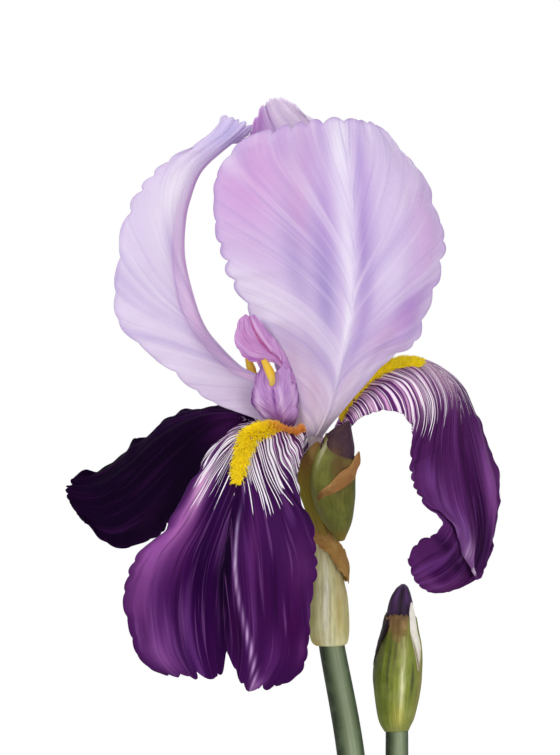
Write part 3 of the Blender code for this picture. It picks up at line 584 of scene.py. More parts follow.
# A bud's valves are firm and waxy: olive, with darker fibres and a soft shine along the front.
valve_skin = plant_skin("bud_valve_skin", "#454b17", "#8d8f45", 0.6, 10.0, relief=0.35)
valves = tube(bud_path[:6], bud_radii[:6], 72, count=70)
lie = facing(valves)
w = np.linspace(0, 2 * np.pi, 73)[None, :-1]
valves[..., 2] -= (1.6 + 2.6 * np.cos(w + 0.5)) * np.clip((lie[..., 1] - 0.7) / 0.3, 0, 1) ** 2
side_dabs = [
    (0.7, -0.55, 0.3, 0.22, 0.7, "#6c7030"), (0.65, -0.15, 0.3, 0.12, 0.6, "#4d4a18"),
    (0.25, 0.1, 0.25, 0.5, 0.6, "#6f7130"), (0.5, 0.8, 0.3, 0.25, 0.6, "#57551d"),
    (0.75, 0.35, 0.2, 0.3, 0.6, "#6b4a26"), (0.3, -0.9, 0.4, 0.3, 0.6, "#7a6a14"),
    (0.02, 0.2, 0.1, 1.0, 0.8, "#9a7428"), (0.88, -0.80, 0.16, 0.10, 0.95, "#c9caa6"),
    (0.88, 0.40, 0.16, 0.50, 1.0, "#5d3a1c"), (0.98, 0.1, 0.08, 0.6, 1.0, "#42241c"),
    (0.76, 0.50, 0.13, 0.42, 1.0, "#5d3a1c"), (0.70, 0.18, 0.14, 0.12, 0.7, "#5f4a1e"),
    (0.80, 0.75, 0.10, 0.2, 0.8, "#8a5a30"), (0.60, 0.93, 0.12, 0.05, 0.9, "#2c2a12"),
]
round_piece(
    "side_bud_valves", valves, "#646524", side_dabs, valve_skin, "side_bud",
    ("valve wall", 0.5),
)

# Furled petals are velvety and almost black where they overlap, with a grey bloom on their folds.
furled_skin = plant_skin("furled_petal_skin", "#160716", "#54384c", 0.5, 8.0, relief=0.4)


def furled(path, radii, sides, count, twist, depth):
    """Petals rolled into a point: a tube whose radius steps by depth once round, the step turning by
    twist."""
    shape = tube(path, radii, sides, count=count)
    u = np.linspace(0, 1, count)[:, None]
    w = np.linspace(0, 2 * np.pi, sides + 1)[None, :-1]
    fold = ((w / (2 * np.pi) * 3 + twist * u) % 1.0) ** 1.5 - 0.4
    middle = shape.mean(axis=1, keepdims=True)
    return middle + (shape - middle) * (1 + depth * fold * np.sin(np.pi * u) ** 0.3)[..., None]


tip = furled(bud_path[3:], [5.0, 5.2, 4.15, 0.35], 72, 60, 0.6, 0.10)
tip_dabs = [
    (0.42, -0.2, 0.16, 0.6, 0.9, "#5f3b22"), (0.75, 0.3, 0.3, 0.4, 0.6, "#4d3038"),
    (0.85, -0.6, 0.2, 0.3, 0.6, "#5a4030"), (0.8, 0.8, 0.3, 0.2, 0.6, "#5b3a5c"),
]
round_piece(
    "side_bud_furled_tip", tip, "#3a2230", tip_dabs, furled_skin, "side_bud_tip",
)


def wound_lift(t, s):
    """How far the wound bract stands off the bud: arched and crumpled, its end sprung away at the
    right."""
    sprung = 5.0 * np.clip(t - 0.8, 0, 1) * s
    return 0.32 + 0.25 * np.sin(3.1 * s) + 0.1 * np.sin(19 * t + 4 * s) + sprung


band, t, s = around_axis(
    bud_path, bud_radii, 80, 18, -52, 96, lambda t: 0.345 + 0.25 * t - 0.03 * np.sin(3.1 * t),
    lambda t: 0.355 + 0.41 * t**0.9 + 0.010 * np.sin(17 * t) - 0.9 * np.clip(t - 0.9, 0, 1), wound_lift,
)
wound_dabs = [
    (0.1, 0.3, 0.12, 0.5, 0.7, "#5a3a12"), (0.9, 0.5, 0.15, 0.8, 0.7, "#b06a35"),
    (0.5, 0.9, 0.3, 0.3, 0.5, "#b58a58"),
]
dry_piece(
    "side_bud_wound_bract", band, "#96683a", wound_dabs, t, s, (s * 0.7, t * 0.5, s), 0.25, papery,
    "bud_bract",
)


def loft(left, midrib, right, across, along, spread=2.0):
    """A sheet over three rails of evenly spaced points: P(u, v) = M + (R - L) v / 2 + ((R + L) / 2 - M)
    |v|^spread, with u from base to tip and v from the left rail (-1) over the midrib (0) to the right
    rail (+1)."""
    low, middle, high = (smooth_path(rail, along)[:, None, :] for rail in (left, midrib, right))
    v = np.linspace(-1, 1, across)[None, :, None]
    return middle + 0.5 * (high - low) * v + (0.5 * (high + low) - middle) * np.abs(v) ** spread


blade = HEART + loft(
    [
        (2.4, -3.4, -27), (-0.3, -5.2, -19.5), (-2.6, -6.8, -12), (-1.9, -8.8, -6.4), (0.6, -9.8, -2.4),
        (2.6, -9.4, -0.4),
    ],
    [
        (4.3, -4.6, -27), (2.0, -6.4, -19.5), (0.2, -8.2, -12), (0.9, -10.2, -6.4), (2.2, -10.4, -2.4),
        (3.2, -9.6, -0.3),
    ],
    [
        (6.4, -4.6, -27), (3.6, -7.0, -19.5), (1.9, -9.0, -12), (2.9, -10.8, -6.4), (4.0, -10.6, -3.2),
        (4.2, -9.9, -1.0),
    ],
    20, 70,
)
v, u = np.meshgrid(np.linspace(-1, 1, 20), np.linspace(0, 1, 70))
leaf_dabs = [
    (0.90, 0, 0.24, 9, 0.95, "#7c4c2a"), (0.3, 0.3, 0.3, 0.5, 0.6, "#8f7a14"),
    (0.0, 0, 0.15, 9, 0.8, "#b07c3c"),
]
leaf = surface(
    "tube_bract_blade", blade, paint=brushed("#93801a", leaf_dabs, u, v),
    grain=np.stack([v * 0.5, u * 0.3, v], axis=2),
)
thicken(leaf, "blade thickness", 0.5)
settle(leaf, valve_skin, "tube_bract")


# ---- Standards -----------------------------------------------------------------------------------
# Three upright petals, thin as silk and domed together: pale lilac, washed with pink towards the outer
# edges, with violet-blue painted shade in the hollows, veined from the claw, with a raised midrib painted
# pale as a highlight and a softly scalloped, ruffled hem.

PETAL_THICKNESS = 0.45


def scallops(run, pitch, seed):
    """Rounded lobes with sharp notches between: |sin|^0.6 of a phase that wanders, so no two lobes
    match."""
    pace = run / pitch
    phase = np.pi * (pace + 0.28 * np.sin(1.37 * pace + seed) + 0.3 * np.sin(0.61 * pace + 2.1 * seed))
    return (np.abs(np.sin(phase)) ** 0.6 - 0.7) * (0.65 + 0.35 * np.sin(0.8 * pace + 1.7 * seed))


def petal(rails, seat, across, along, spread, fan, hem, wave, pleats, rib, seed, tip=None):
    """A petal on its lofted sheet. It is pushed out sideways by scallops at its hem, raised by waves that
    grow as |v|^3 to the edge, by pleats that fade at the claw and by a rib over the midrib. A vein is the
    line c tanh(u / c) = d + (a + b d^2) |v|^p, with fan = (a, b, c, p); each point carries the d of its
    own vein in its grain, with u and the side it is on."""
    left, midrib, right = rails
    grid = HEART + np.array(seat) + loft(left, midrib, right, across, along, spread)
    v, u = np.meshgrid(np.linspace(-1, 1, across), np.linspace(0, 1, along))
    side, edge = np.sign(v), np.abs(v)
    sideways = np.where(v[..., None] > 0, grid[:, -1:] - grid[:, -4:-3], grid[:, 3:4] - grid[:, :1])
    sideways /= np.linalg.norm(sideways, axis=2)[..., None]
    upward = grid[-1:] - grid[-3:-2]
    upward /= np.linalg.norm(upward, axis=2)[..., None]
    length = np.linalg.norm(np.diff(grid[:, across // 2], axis=0), axis=1).sum()
    width = np.linalg.norm(np.diff(grid, axis=1), axis=2).sum(axis=1).max()
    grown = np.clip((u - 0.15) / 0.2, 0, 1)
    pitch, depth = hem
    frill = depth * scallops(u * length + 30 * (side + 1), pitch, seed) * edge**9 * grown
    grid += sideways * (side * frill)[..., None]
    lobes = 1.3 * depth * scallops(v * width / 2 + 200, pitch, seed + 3)
    if tip is not None:
        lobes = lobes + tip(v)
    grid += upward * (lobes * u**14)[..., None]
    normal = np.cross(np.gradient(grid, axis=0), np.gradient(grid, axis=1))
    normal /= np.maximum(np.linalg.norm(normal, axis=2), 1e-9)[..., None]
    height, beat = wave
    run = u * length * beat
    hills = np.sin(run + seed) + 0.6 * np.sin(1.73 * run + 2 * seed) + 0.4 * np.sin(2.9 * run + seed**2)
    rise = height * hills * edge**3 * grown * (1 + 0.3 * side * np.cos(run))
    hills = np.sin(v * width * beat * 0.7 + seed) + 0.6 * np.sin(v * width * beat * 1.3 + 2 * seed)
    rise = rise + 0.6 * height * hills * u**10
    count, lift = pleats
    folds = np.sin(count * v + 0.6 * seed) + 0.7 * np.sin(1.7 * count * v + seed)
    folds = folds + 0.5 * np.sin(3.1 * count * v)
    rise = rise + lift * folds * np.clip(u / 0.3, 0, 1) * (1 - 0.75 * u)
    rise = rise + rib * np.exp(-((v / 0.045) ** 2)) * (1 - 0.6 * u)
    grid = grid + normal * rise[..., None]
    first, wider, stop, power = fan
    bow = edge**power
    left_over = stop * np.tanh(u / stop) - first * bow
    label = 2 * left_over / (1 + np.sqrt(np.maximum(1 + 4 * wider * bow * left_over, 0.05)))
    grain = np.stack([label, u, side], axis=2)
    return grid, u, v, grain


def petal_piece(name, shape, u, v, grain, base, dabs, thickness, material, node):
    """A petal's sheet, painted with dabs at (u, v), half its thickness on each side, given to the
    frame."""
    made = surface(
        name, shape, uv=np.stack([v / 2 + 0.5, u], axis=2), paint=brushed(base, dabs, u, v), grain=grain,
    )
    thicken(made, "petal thickness", thickness, 0.0)
    settle(made, material, node)


def petal_skin(name, length, fine, broad, glow, haft=None, sheen=0.05, shine=0.22, relief=0.2):
    """Petal tissue of a petal length mm long: the painted colour, brushed along the veins by broad and
    fine streaks, each (pitch mm, run mm, hex, from, to, amount), over papillae that break up the shine
    like velvet. A fall's haft = (end, taper, pitch mm, (dark, ground, pale), share of dark, share of
    pale) is combed with pale strokes that run out to points where the blade's own colour takes over."""
    made = bpy.data.materials.new(name)
    made.use_nodes = True
    tree = made.node_tree
    shader = tree.nodes["Principled BSDF"]
    paint = add_node(tree, "ShaderNodeAttribute", attribute_name="paint")
    grain = add_node(tree, "ShaderNodeAttribute", attribute_name="grain")
    patterns = [(pitch, run, 9.1 * index, 1.0) for index, (pitch, run, *_) in enumerate((*broad, *fine))]
    if haft:
        end, taper, stroke_pitch, (dark, ground, pale), dark_share, pale_share = haft
        patterns += [
            (stroke_pitch, 45.0, 3.7, 1.0), (1.6 * stroke_pitch, 400.0, 21.3, 0.0),
            (1.3 * stroke_pitch, 60.0, 33.9, 1.0),
        ]
    streaks = []
    for pitch, run, shift, detail in patterns:
        stretch = add_node(
            tree, "ShaderNodeVectorMath",
            {0: grain.outputs["Vector"], 1: (length / pitch, length / run, 1.3), 2: (shift, 0, 0)},
            operation="MULTIPLY_ADD",
        )
        streak = add_node(
            tree, "ShaderNodeTexNoise", {"Vector": stretch.outputs[0], "Scale": 1.0, "Detail": detail},
        )
        streaks.append(streak.outputs["Fac"])
    colour = paint.outputs["Color"]
    for streak, (_, _, code, low, high, amount) in zip(streaks, (*broad, *fine)):
        cover = add_node(
            tree, "ShaderNodeMapRange", {0: streak, 1: low, 2: high, 3: 0.0, 4: amount},
            interpolation_type="SMOOTHSTEP",
        )
        brush = add_node(
            tree, "ShaderNodeMix", {0: cover.outputs[0], "A": colour, "B": linear(code)}, data_type="RGBA",
        )
        colour = brush.outputs["Result"]
    if haft:
        stroke, wander, blush = streaks[-3:]
        where = add_node(tree, "ShaderNodeSeparateXYZ", {0: grain.outputs["Vector"]}).outputs["Y"]
        far = add_node(tree, "ShaderNodeMath", {0: wander, 1: -0.22, 2: where}, operation="MULTIPLY_ADD")
        thin = add_node(
            tree, "ShaderNodeMapRange", {0: far.outputs[0], 1: end - taper, 2: end - 0.03, 3: 0.0, 4: 0.42},
            interpolation_type="SMOOTHSTEP",
        )
        lead = add_node(tree, "ShaderNodeMath", {0: stroke, 1: thin.outputs[0]}, operation="SUBTRACT")
        # From the ground up: blushes, dark lines, the haft itself over the blade, and the pale strokes
        # over all.
        tones = {"haft": linear(dark), "blade": colour}
        for layer, value, low, high, over in (
            ("haft", blush, 0.40, 0.62, linear(ground)),
            ("haft", stroke, dark_share + 0.02, dark_share - 0.02, linear(dark)),
            ("blade", where, end - 0.02, end - 0.17, None),
            ("blade", lead.outputs[0], pale_share - 0.015, pale_share + 0.02, linear(pale)),
        ):
            cover = add_node(
                tree, "ShaderNodeMapRange", {0: value, 1: low, 2: high}, interpolation_type="SMOOTHSTEP",
            )
            comb = add_node(
                tree, "ShaderNodeMix", {0: cover.outputs[0], "A": tones[layer], "B": over or tones["haft"]},
                data_type="RGBA",
            )
            tones[layer] = comb.outputs["Result"]
        colour = tones["blade"]
    tree.links.new(colour, shader.inputs["Base Color"])
    place = add_node(tree, "ShaderNodeTexCoord").outputs["Object"]
    # Real papillae are far finer; at 0.6 mm they are as coarse as they need to be to show.
    cells = add_node(tree, "ShaderNodeTexNoise", {"Vector": place, "Scale": 1600.0, "Detail": 2.0})
    texture = add_node(tree, "ShaderNodeMath", {0: streak, 1: cells.outputs["Fac"]}, operation="ADD")
    bump = add_node(
        tree, "ShaderNodeBump", {"Strength": relief, "Distance": 0.0005, "Height": texture.outputs[0]},
    )
    tree.links.new(bump.outputs[0], shader.inputs["Normal"])
    rough = add_node(tree, "ShaderNodeMapRange", {0: cells.outputs["Fac"], 1: 0.3, 2: 0.7, 3: 0.55, 4: 0.75})
    tree.links.new(rough.outputs[0], shader.inputs["Roughness"])
    shader.inputs["IOR"].default_value = 1.38
    shader.inputs["Specular IOR Level"].default_value = shine
    shader.inputs["Sheen Weight"].default_value = sheen
    shader.inputs["Sheen Roughness"].default_value = 0.4
    shader.inputs["Sheen Tint"].default_value = linear(glow)
    shader.inputs["Subsurface Weight"].default_value = 0.2
    shader.inputs["Subsurface Radius"].default_value = (0.9, 0.6, 0.9)
    shader.inputs["Subsurface Scale"].default_value = 0.002
    return made


def claw(rails, degrees, half_width, turn):
    """Puts the two corners of the claw at the heads of the side rails, square to the way the petal
    leaves, with turn 1 or -1 as the sheet's left edge needs."""
    left, midrib, right = rails
    angle = math.radians(degrees + 90)
    corner = turn * half_width * np.array([math.cos(angle), math.sin(angle), 0.0])
    return [tuple(-corner), *left], midrib, [tuple(corner), *right]


def spread_from(radius, degrees, up):
    """Where a petal sits on the throat: so far out at that angle from +x, and so far up."""
    return (radius * math.cos(math.radians(degrees)), radius * math.sin(math.radians(degrees)), up)


# Lilac petal tissue is thin and silky: light goes into it, so its shadows stay pale, and fine veins run
# up it.
lilac_skin = petal_skin(
    "lilac_petal_tissue", 95.0,
    fine=[(1.1, 34.0, "#9f88c6", 0.50, 0.80, 0.26), (0.9, 28.0, "#f1e8f7", 0.52, 0.80, 0.18)],
    broad=[(5.0, 50.0, "#a691cb", 0.50, 0.76, 0.34), (4.2, 44.0, "#efe4f5", 0.50, 0.76, 0.32)],
    glow="#e6d9ff",
)
# The back petal is painted paler and pinker than the others: painted light, lifting its tip where it bends
# back into shade.
blush_and_painted_light_skin = petal_skin(
    "blush_petal_tissue_painted_light", 95.0,
    fine=[(1.1, 34.0, "#cfa9dc", 0.50, 0.80, 0.22), (0.9, 28.0, "#fff2ff", 0.52, 0.80, 0.20)],
    broad=[(5.0, 50.0, "#dcb6e6", 0.50, 0.76, 0.20), (4.2, 44.0, "#fff2ff", 0.50, 0.76, 0.40)],
    glow="#ffe6ff",
)

FRONT_STANDARD = (
    [
        (-5.6, -1.6, 5.0), (-8.0, -3, 11.5), (-10.6, -4.6, 19.0), (-17.5, -6.5, 33.5), (-24, -7, 46),
        (-27.5, -6, 58), (-28, -4.5, 67), (-26.5, -3, 75), (-20, -2, 83.5),
    ],
    [
        (0, 0, 0), (3.5, -5.5, 7), (6.8, -12.5, 19), (9.9, -18, 34), (10.5, -20.5, 52), (9.4, -17, 73),
        (8, -8, 88.5),
    ],
    [
        (5.7, -1, 5.3), (12.5, -5, 13), (19.6, -8, 20.7), (27.6, -9, 26.3), (31.5, -8.5, 36),
        (36, -7, 51.5), (34, -5, 63), (29.5, -3.5, 74), (21, -2.5, 83.5),
    ],
)
# The violet-blue dabs on either side of the midrib are painted shade in its hollows, and the near-white dabs
# along the midrib are a painted highlight.
FRONT_DABS_WITH_PAINTED_LIGHT = [
    (0.82, -0.75, 0.22, 0.32, 0.9, "#d09fd4"), (0.82, -0.40, 0.20, 0.16, 0.7, "#bf9acb"),
    (0.70, -0.42, 0.10, 0.10, 0.6, "#d09bcb"), (0.60, -0.80, 0.12, 0.25, 0.5, "#cdb2da"),
    (0.50, -1.0, 0.10, 0.16, 0.8, "#e6dbec"), (0.40, -0.82, 0.12, 0.22, 0.9, "#e9deef"),
    (0.58, -0.50, 0.14, 0.10, 0.7, "#a997c8"), (0.52, -0.27, 0.22, 0.11, 0.85, "#9d8bc2"),
    (0.62, 0.10, 0.14, 0.05, 0.9, "#a188c2"), (0.68, -0.23, 0.12, 0.07, 0.7, "#b493cc"),
    (0.45, 0.16, 0.26, 0.09, 0.85, "#ad95c9"), (0.28, -0.70, 0.10, 0.3, 0.8, "#cbb6cf"),
    (0.90, -0.06, 0.14, 0.09, 0.95, "#efe7f6"), (0.64, -0.06, 0.20, 0.050, 0.95, "#dfd3ec"),
    (0.38, -0.03, 0.18, 0.045, 1.0, "#ebe1f4"), (0.20, -0.02, 0.10, 0.06, 0.9, "#d9cbea"),
    (0.80, 0.13, 0.14, 0.07, 0.7, "#b89cd3"), (0.75, 0.45, 0.25, 0.20, 0.6, "#d3bfe4"),
    (0.66, 0.78, 0.18, 0.22, 0.85, "#cda8d8"), (0.45, 0.70, 0.09, 0.20, 0.95, "#ac83c4"),
    (0.36, 0.55, 0.08, 0.25, 0.7, "#c49fcb"), (0.52, 0.45, 0.08, 0.2, 0.7, "#dccdea"),
    (0.80, 0.95, 0.25, 0.10, 0.6, "#c8b0da"), (0.16, -0.50, 0.08, 0.40, 0.8, "#dabfd8"),
    (0.18, 0.35, 0.1, 0.25, 0.7, "#d9c2da"), (0.05, 0.0, 0.08, 9.0, 0.8, "#ecd9e8"),
    (0.55, -1.0, 0.42, 0.022, 0.6, "#a98fc4"), (0.60, 1.0, 0.42, 0.022, 0.6, "#a98fc4"),
    (1.0, 0.0, 0.010, 9.0, 0.5, "#a98fc4"),
]
LEFT_STANDARD = (
    [
        (-8, 5, 7), (-19, 11, 15), (-30, 17, 24), (-40, 20, 33), (-44, 21, 45), (-43, 20, 57),
        (-38, 17, 67), (-30, 11, 75.5), (-22, 6, 80), (-14.5, 3, 83.6),
    ],
    [
        (0, 0, 0), (-4, -1, 8.5), (-8.3, -1.7, 16), (-14.5, -2.2, 19.7), (-20, -2.5, 25),
        (-24.3, -2.8, 30.5), (-27.3, -3, 38), (-30, -3, 50), (-29.9, -2.5, 60), (-28.5, -2, 67),
        (-25.5, -1.5, 74.5), (-19.5, -1, 80.5), (-11.6, 0, 86.8),
    ],
    [
        (-8.3, -5, 4.7), (-22.8, -9.5, 10.5), (-36.8, -14.5, 21.5), (-47, -17.5, 30.5),
        (-48.8, -18, 39), (-48, -17.5, 50), (-45.5, -15, 62), (-41.5, -12, 69.5),
        (-34.5, -9, 77), (-23, -5, 84.5), (-19.5, -3, 90),
    ],
)
LEFT_DABS = [
    (0.60, 0.04, 0.30, 0.10, 0.95, "#cf9fd4"), (0.78, 0.02, 0.10, 0.12, 0.7, "#c496cd"),
    (0.34, 0.20, 0.16, 0.09, 0.95, "#f6caf0"), (0.60, 0.27, 0.16, 0.08, 0.7, "#dcb2e2"),
    (0.22, 0.2, 0.08, 0.12, 0.9, "#f0c6ea"), (0.42, 0.33, 0.24, 0.022, 0.7, "#b592ca"),
    (0.50, 1.0, 0.45, 0.022, 0.6, "#a98fc4"), (0.75, 0.55, 0.12, 0.24, 0.9, "#f1e8f6"),
    (0.60, 0.85, 0.20, 0.20, 0.5, "#d7c8e8"), (0.40, 0.70, 0.12, 0.3, 0.6, "#e3d2ea"),
    (0.25, 0.75, 0.10, 0.4, 0.5, "#d5c4df"), (0.96, 0.5, 0.06, 0.6, 0.9, "#bdb3e3"),
    (0.97, -0.2, 0.05, 0.5, 0.8, "#c4aee0"), (0.88, 0.30, 0.05, 0.3, 0.5, "#c6b2e0"),
    (0.34, 0.25, 0.10, 0.14, 0.6, "#d6b8dd"), (0.12, 0.8, 0.10, 0.5, 0.6, "#d8c2e0"),
]
BACK_STANDARD = (
    [(8, 3, 9), (15, 7, 21), (22, 9, 36), (26, 9, 52), (24, 8, 66), (15, 8, 79), (-2.5, 4, 92)],
    [
        (0, 0, 0), (2, 6, 9), (5, 12, 21), (7.5, 17, 36), (8, 19, 52), (5, 17, 68), (-1, 12, 82),
        (-8, 6, 91), (-10.4, 3, 95.2),
    ],
    [(-4, 6, 9), (-8, 10, 21), (-14, 12, 36), (-18, 12, 52), (-20, 10, 67), (-19, 7, 79), (-16.5, 4, 86.5)],
)
# The near-white dabs at the back petal's tip are painted light over the shade it lies in.
BACK_DABS_WITH_PAINTED_LIGHT = [
    (0.96, 0.75, 0.16, 0.42, 1.0, "#cf96dc"), (0.93, -0.45, 0.16, 0.6, 1.0, "#fff0ff"),
    (0.96, 0.30, 0.10, 0.03, 0.9, "#8f6aa8"), (0.97, 0.12, 0.10, 0.12, 0.9, "#fbeafc"),
    (0.5, 0.0, 0.5, 0.08, 0.6, "#e4daf0"),
]
for side, rails, degrees, turn_way, spread, hem, wave, pleats, seed, base, dabs, skin in (
    (
        "front", FRONT_STANDARD, -55, 1, 1.85, (7.4, 2.3), (0.30, 0.42), (7.0, 0.34), 1.3,
        "#d2bfe2", FRONT_DABS_WITH_PAINTED_LIGHT, lilac_skin,
    ),
    (
        "left", LEFT_STANDARD, 198, -1, 1.7, (6.8, 2.2), (0.35, 0.40), (6.0, 0.25), 2.7,
        "#dccde9", LEFT_DABS, lilac_skin,
    ),
    (
        "back", BACK_STANDARD, 77, -1, 2.0, (5.0, 1.1), (0.35, 0.45), (7.0, 0.10), 4.1,
        "#d5c3e4", BACK_DABS_WITH_PAINTED_LIGHT, blush_and_painted_light_skin,
    ),
):
    shape, u, v, grain = petal(
        claw(rails, degrees, 2.1, turn_way), spread_from(4.23, degrees, 0.685), 141, 181, spread,
        (0.20, 1.0, 1.1, 0.8), hem, wave, pleats, -0.5, seed,
    )
    petal_piece(
        f"{side}_standard_petal", shape, u, v, grain, base, dabs, PETAL_THICKNESS, skin,
        f"{side}_standard",
    )


# ---- Falls ---------------------------------------------------------------------------------------
# Three broad drooping petals of deep purple velvet. Each arches out on a pale haft combed with dark
# lines, then hangs; the blade is folded along the middle, notched at the tip and scalloped round its hem.

FRONT_FALL = (
    [
        (-3.4, 0.3, 3.6), (-7.5, -3, 7.6), (-16, -11.7, 9.2), (-20.2, -14.5, 5.6), (-24.4, -16.8, 1.6),
        (-28.3, -19.5, -4.8), (-32.8, -21.7, -13.2), (-38.5, -22.7, -21.6), (-44, -22.7, -26.4),
        (-47.2, -22.2, -34.2), (-47.3, -21.7, -39.8), (-45.8, -20.5, -48.2), (-43, -20, -54.8),
        (-37.5, -19.7, -58.6),
    ],
    [
        (0, 0, 0), (-0.4, -0.9, 3.5), (-2.5, -4.2, 6.8), (-6.5, -10, 8.6), (-9.8, -15.7, 8),
        (-13.2, -20.7, 6.4), (-15.1, -24.7, 2.2), (-16.3, -27.7, -3.4), (-16.8, -29.5, -7.6),
        (-18.8, -32.5, -20.2), (-19.9, -33, -34.2), (-19, -29.5, -58.8),
    ],
    [
        (3.0, -2.0, 4.2), (2.0, -3.4, 7.6), (1.2, -8.7, 1.6), (-0.3, -14.7, -5.6), (1.0, -19.7, -11.8),
        (3.7, -23.7, -17.4), (4.6, -26, -23), (5, -27.7, -28.6), (3.9, -28.7, -37), (3.1, -28, -44),
        (2.8, -26.7, -51), (1.2, -25.5, -57), (-4.5, -24.7, -61.6),
    ],
)
# On the front fall, the pink-mauve dabs down the left shoulder are a painted highlight and the pale line just
# right of the midrib is a painted highlight along the fold. The near-black dabs in the valley along the
# midrib are painted shade.
FRONT_FALL_DABS_WITH_PAINTED_LIGHT = [
    (0.48, -0.60, 0.10, 0.13, 1.0, "#e2a9da"), (0.58, -0.72, 0.10, 0.13, 1.0, "#b46cb4"),
    (0.66, -0.84, 0.12, 0.16, 0.95, "#9754a0"), (0.78, -0.85, 0.10, 0.14, 0.6, "#7a3f80"),
    (0.93, -0.75, 0.07, 0.16, 0.8, "#8d5298"), (0.62, -0.50, 0.10, 0.12, 0.7, "#7a3a80"),
    (0.44, -0.62, 0.05, 0.16, 0.8, "#dba6d3"), (0.72, -0.26, 0.24, 0.17, 0.95, "#1d002e"),
    (0.72, -0.02, 0.24, 0.08, 1.0, "#0c0018"), (0.92, -0.45, 0.10, 0.14, 0.7, "#421a58"),
    (0.86, -0.62, 0.08, 0.06, 0.6, "#5c2a6c"), (0.48, 0.115, 0.035, 0.022, 0.8, "#8f7cab"),
    (0.53, 0.10, 0.035, 0.02, 0.8, "#a796c0"), (0.58, 0.09, 0.035, 0.018, 0.9, "#b7a6cc"),
    (0.63, 0.095, 0.035, 0.017, 0.95, "#c5b0d2"), (0.68, 0.105, 0.035, 0.017, 1.0, "#dcc8e6"),
    (0.73, 0.125, 0.035, 0.017, 1.0, "#dcc2e6"), (0.78, 0.155, 0.035, 0.018, 1.0, "#cfb0dc"),
    (0.83, 0.20, 0.035, 0.019, 1.0, "#c9a6d6"), (0.87, 0.25, 0.03, 0.02, 1.0, "#d0aede"),
    (0.91, 0.31, 0.03, 0.022, 1.0, "#cda9da"), (0.945, 0.375, 0.025, 0.024, 1.0, "#c8a2d4"),
    (0.98, 0.46, 0.025, 0.03, 1.0, "#d2b2da"), (0.66, 0.03, 0.16, 0.045, 0.9, "#0c0018"),
    (0.88, 0.16, 0.08, 0.05, 0.8, "#1c0226"), (0.62, 0.30, 0.14, 0.08, 0.7, "#5f2768"),
    (0.85, 0.10, 0.12, 0.05, 0.8, "#2a0433"), (0.75, 0.45, 0.16, 0.12, 0.6, "#34083f"),
    (0.55, 0.55, 0.08, 0.16, 0.6, "#421b52"), (0.62, 0.85, 0.10, 0.16, 0.7, "#57255e"),
    (0.80, 0.80, 0.10, 0.16, 0.6, "#3d0742"), (0.92, 0.60, 0.08, 0.10, 0.6, "#5b2468"),
    (0.86, 0.92, 0.05, 0.06, 0.6, "#6a3074"), (0.50, 0.00, 0.05, 0.2, 0.8, "#220233"),
    (0.50, -0.28, 0.07, 0.12, 0.8, "#26033a"), (0.24, 0.0, 0.13, 0.08, 0.95, "#b98a1c"),
    (0.99, 0.53, 0.02, 0.12, 0.7, "#a474ad"),
]
LEFT_FALL = (
    [
        (0.5, 3.5, 4), (-6, 9, 9.5), (-18.4, 17, 13.1), (-23.2, 20, 13.7), (-28.9, 23, 12.6),
        (-35.9, 26, 9.2), (-41.4, 28, 5), (-48.4, 29.5, -0.6), (-54.2, 30, -3.9), (-59.6, 28.5, -6.5),
    ],
    [
        (0, 0, 0), (-0.9, 0.5, 4), (-6.0, 3.6, 8.4), (-13.4, 6.8, 10.7), (-21.8, 9.9, 10.1),
        (-30.0, 13.3, 6.7), (-38.0, 16.3, 1.2), (-46.0, 18.3, -6.3), (-54.3, 20.7, -11.0), (-63.2, 24, -10.6),
    ],
    [
        (-2.5, -3, 3), (-6, -3.5, 4.5), (-11, -1, 0), (-20, 2, -6), (-29, 5, -14.5), (-38, 8, -22.5),
        (-48.0, 12, -25.8), (-57.5, 15.5, -19.5),
    ],
)
# The left fall is painted near black all over, darker than the others: painted shade, as it hangs at the back
# of the bloom in shadow.
LEFT_FALL_DABS_WITH_PAINTED_SHADE = [
    (0.45, -0.6, 0.12, 0.4, 0.6, "#2c0638"), (0.60, -0.6, 0.14, 0.3, 0.5, "#1d022c"),
    (0.95, 0.0, 0.08, 0.9, 0.6, "#1d0428"), (0.75, 0.55, 0.14, 0.2, 0.4, "#19022a"),
    (0.85, -0.2, 0.14, 0.2, 0.5, "#100120"), (0.30, 0.0, 0.08, 1.0, 0.7, "#54205e"),
]
RIGHT_FALL = (
    [
        (2.6, -4.5, 4), (8.4, -7.5, 10.6), (12.1, -9.5, 12.6), (16.1, -11.5, 13.4), (20.1, -12.5, 12.8),
        (23.1, -13.5, 9.2), (23.5, -14.5, 5), (22.9, -15, 0.8), (23.1, -15.5, -3.4), (24.6, -15.5, -9),
        (27.6, -15.5, -13.2), (31.5, -16.5, -17), (30, -19, -20.5), (25, -21.5, -22.5), (22.2, -22.5, -27),
    ],
    [
        (0, 0, 0), (0.9, 0.1, 4), (3.6, 0.3, 10.5), (6.4, 0.5, 16.2), (10.6, 0.7, 21.2),
        (16.1, 0.9, 25.2), (21.8, 1, 27.3), (27.4, 1, 27), (32.5, 0.5, 23.8), (36.5, -0.5, 18),
        (38.1, -1.5, 7.8), (40.1, -3, -6.2), (42.2, -5.5, -20), (40.5, -9, -28.5), (36, -13.5, -34.5),
        (28.5, -17.5, -36.8),
    ],
    [
        (2.1, 4.5, 7), (8.1, 8.5, 14), (16.1, 11.5, 19), (24.1, 13.5, 21), (32.1, 14.5, 20),
        (38.6, 13.5, 16), (43.1, 11.5, 10), (47.1, 10.5, -0.6), (49, 8.5, -8), (47.6, 5.5, -17.4),
        (46.7, 2.5, -24.4), (43, -7.5, -32.5),
    ],
)
